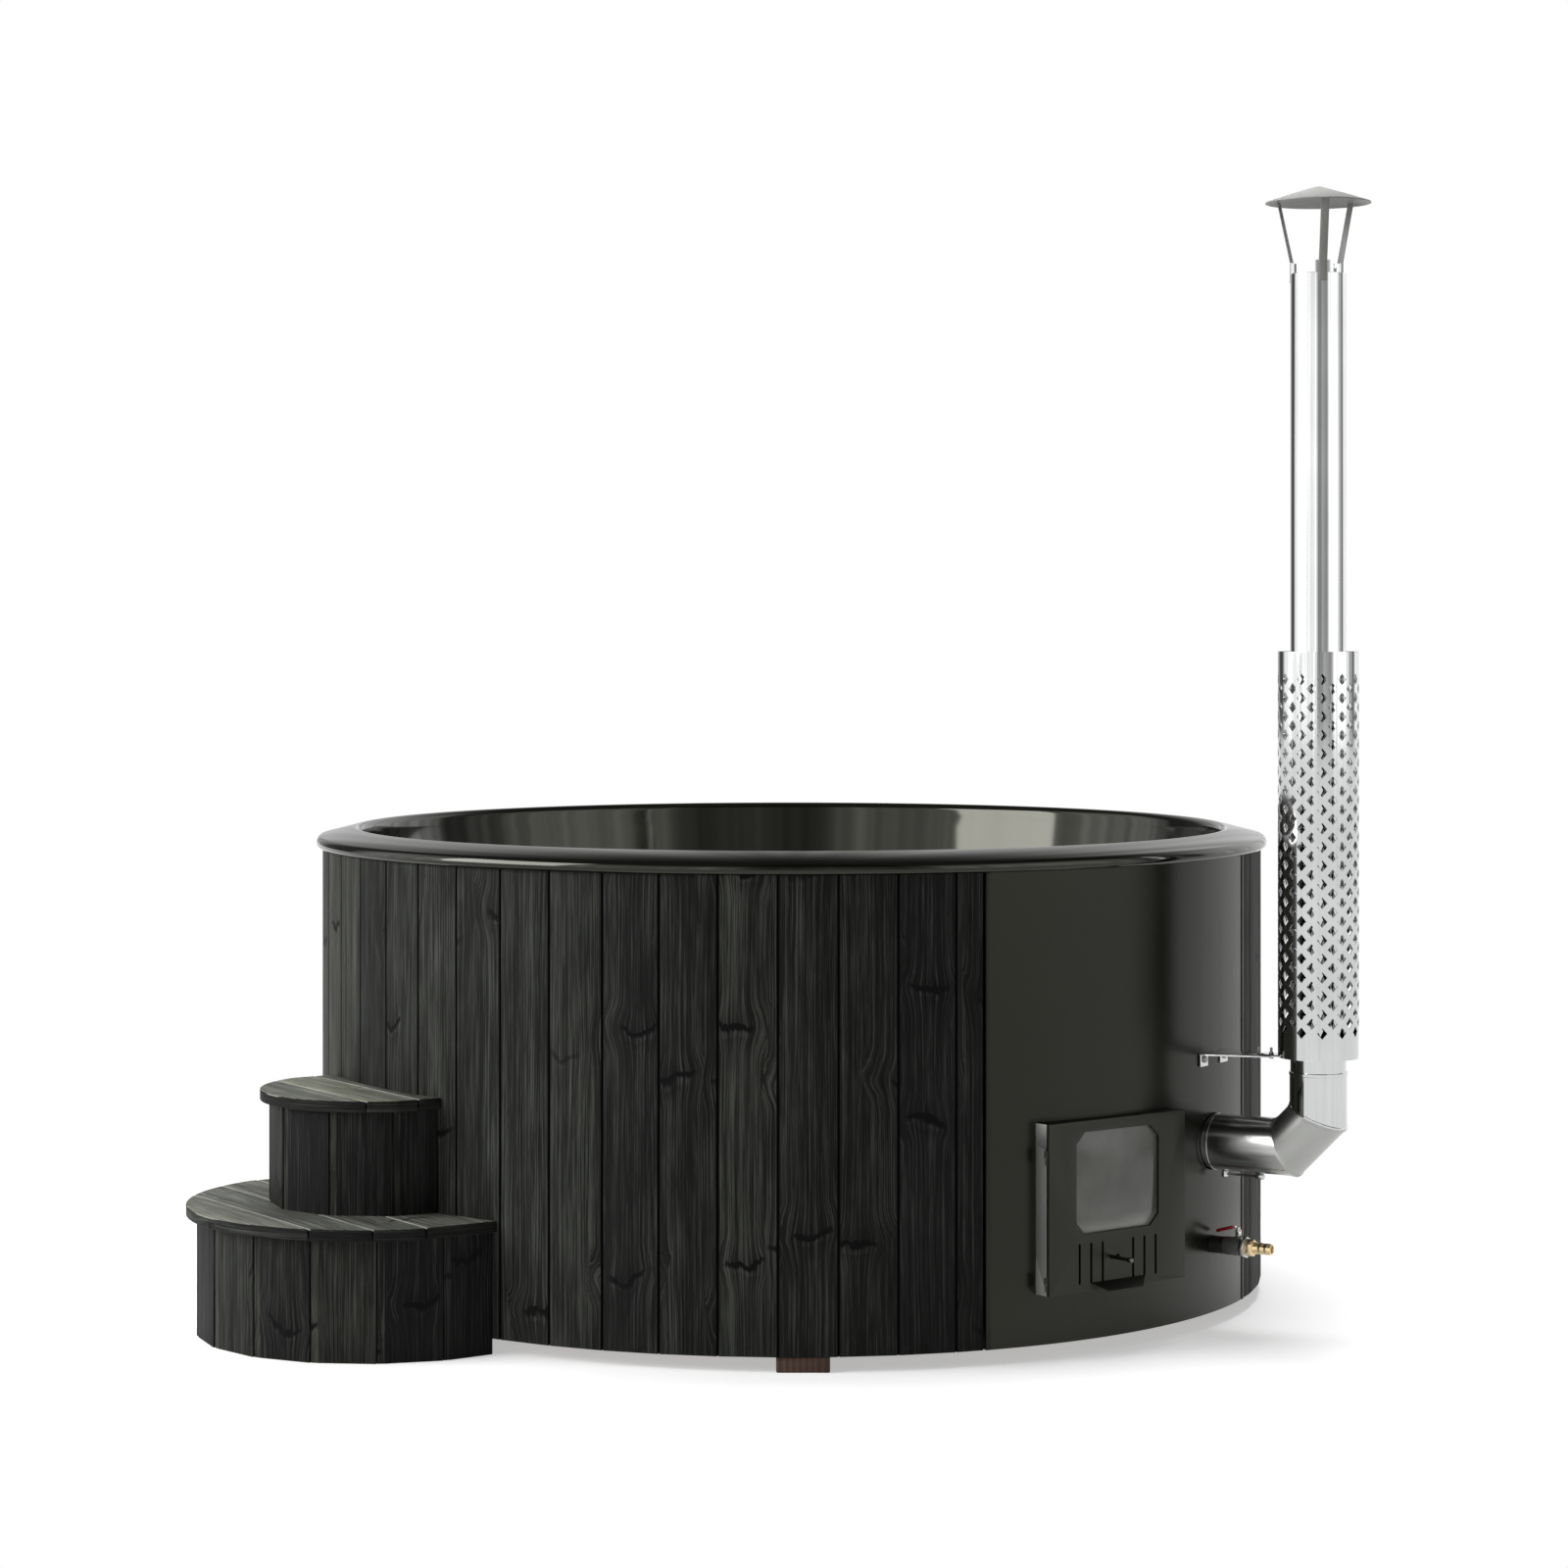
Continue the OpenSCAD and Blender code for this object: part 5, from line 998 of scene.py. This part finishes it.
guard = new_piece("diamond_guard", bm, "mirror_steel", "heat_guard", smooth=50)
print("guard faces:", len(guard.data.polygons))


# %% [markdown]
# ### Small hardware
# The smaller pieces keep their CAD form, but a real edge is never razor sharp, so each
# of them is copied and its edges are rounded by a millimetre or so.


# %% Rounded copies
def softened(node, width):
    """A copy of a CAD node with its sharp edges rounded off."""
    sharp = math.radians(35)
    bm = bmesh.new()
    bm.from_mesh(frame["nodes"][node].data)
    bmesh.ops.remove_doubles(bm, verts=bm.verts, dist=0.00001)
    bmesh.ops.dissolve_limit(bm, angle_limit=math.radians(0.5), verts=bm.verts, edges=bm.edges)
    bmesh.ops.recalc_face_normals(bm, faces=bm.faces)
    edges = [e for e in bm.edges if len(e.link_faces) == 2 and e.calc_face_angle() > sharp]
    # Short edges on the door are steps of a curve, and a bevel would tear them
    if node in ("door_frame", "door_plate"):
        edges = [e for e in edges if e.calc_length() > 0.006]
    bmesh.ops.bevel(
        bm, geom=edges, offset=width, segments=2, profile=0.5, affect="EDGES", material=-1,
        clamp_overlap=True,
    )
    return new_piece(f"{node}_rounded", bm, slot_of[node], node, body=body_of[node], smooth=32)


for node, width in {
    "base_skids": 0.003, "panel_trims": 0.0006, "door_frame": 0.0008, "door_plate": 0.0009,
    "door_glass": 0.001, "pull_lip": 0.0009, "knob_tip": 0.0015, "air_slider": 0.0005,
    "bracket_arm": 0.0007, "bracket_ring": 0.0007, "bracket_bolts": 0.0007, "cap_straps": 0.0005,
    "valve_body": 0.0012, "valve_nut": 0.0015, "stem_gland": 0.001, "valve_lever": 0.0006,
    "lever_grip": 0.0016, "hose_tail": 0.0007, "damper_handle": 0.0012, "water_grilles": 0.001,
    "hinge_pins": 0.0006, "guard_spacers": 0.0003,
}.items():
    softened(node, width)
bpy.data.objects["cap_straps_rounded"].data.materials[0] = cap_steel
# Dark grey, with small highlights
bpy.data.objects["knob_tip_rounded"].data.materials[0] = metal("dark grey knob steel", "#5c5c58", 0.25)

# Painted light: the hinge side of the door frame, which faces the main lamp, is drawn in the lighter
# zinc-plated finish
door_phi, frame_edge = 38, 0.19
frame_piece = bpy.data.objects["door_frame_rounded"]
frame_piece.data.materials.append(finishes["zinc_steel"])
leftward = out_at(door_phi).to_3x3() @ Vector((0, -1, 0))
for face in frame_piece.data.polygons:
    if face.normal.dot(leftward) > 0.98 and face.center.dot(leftward) > frame_edge:
        face.material_index = 1
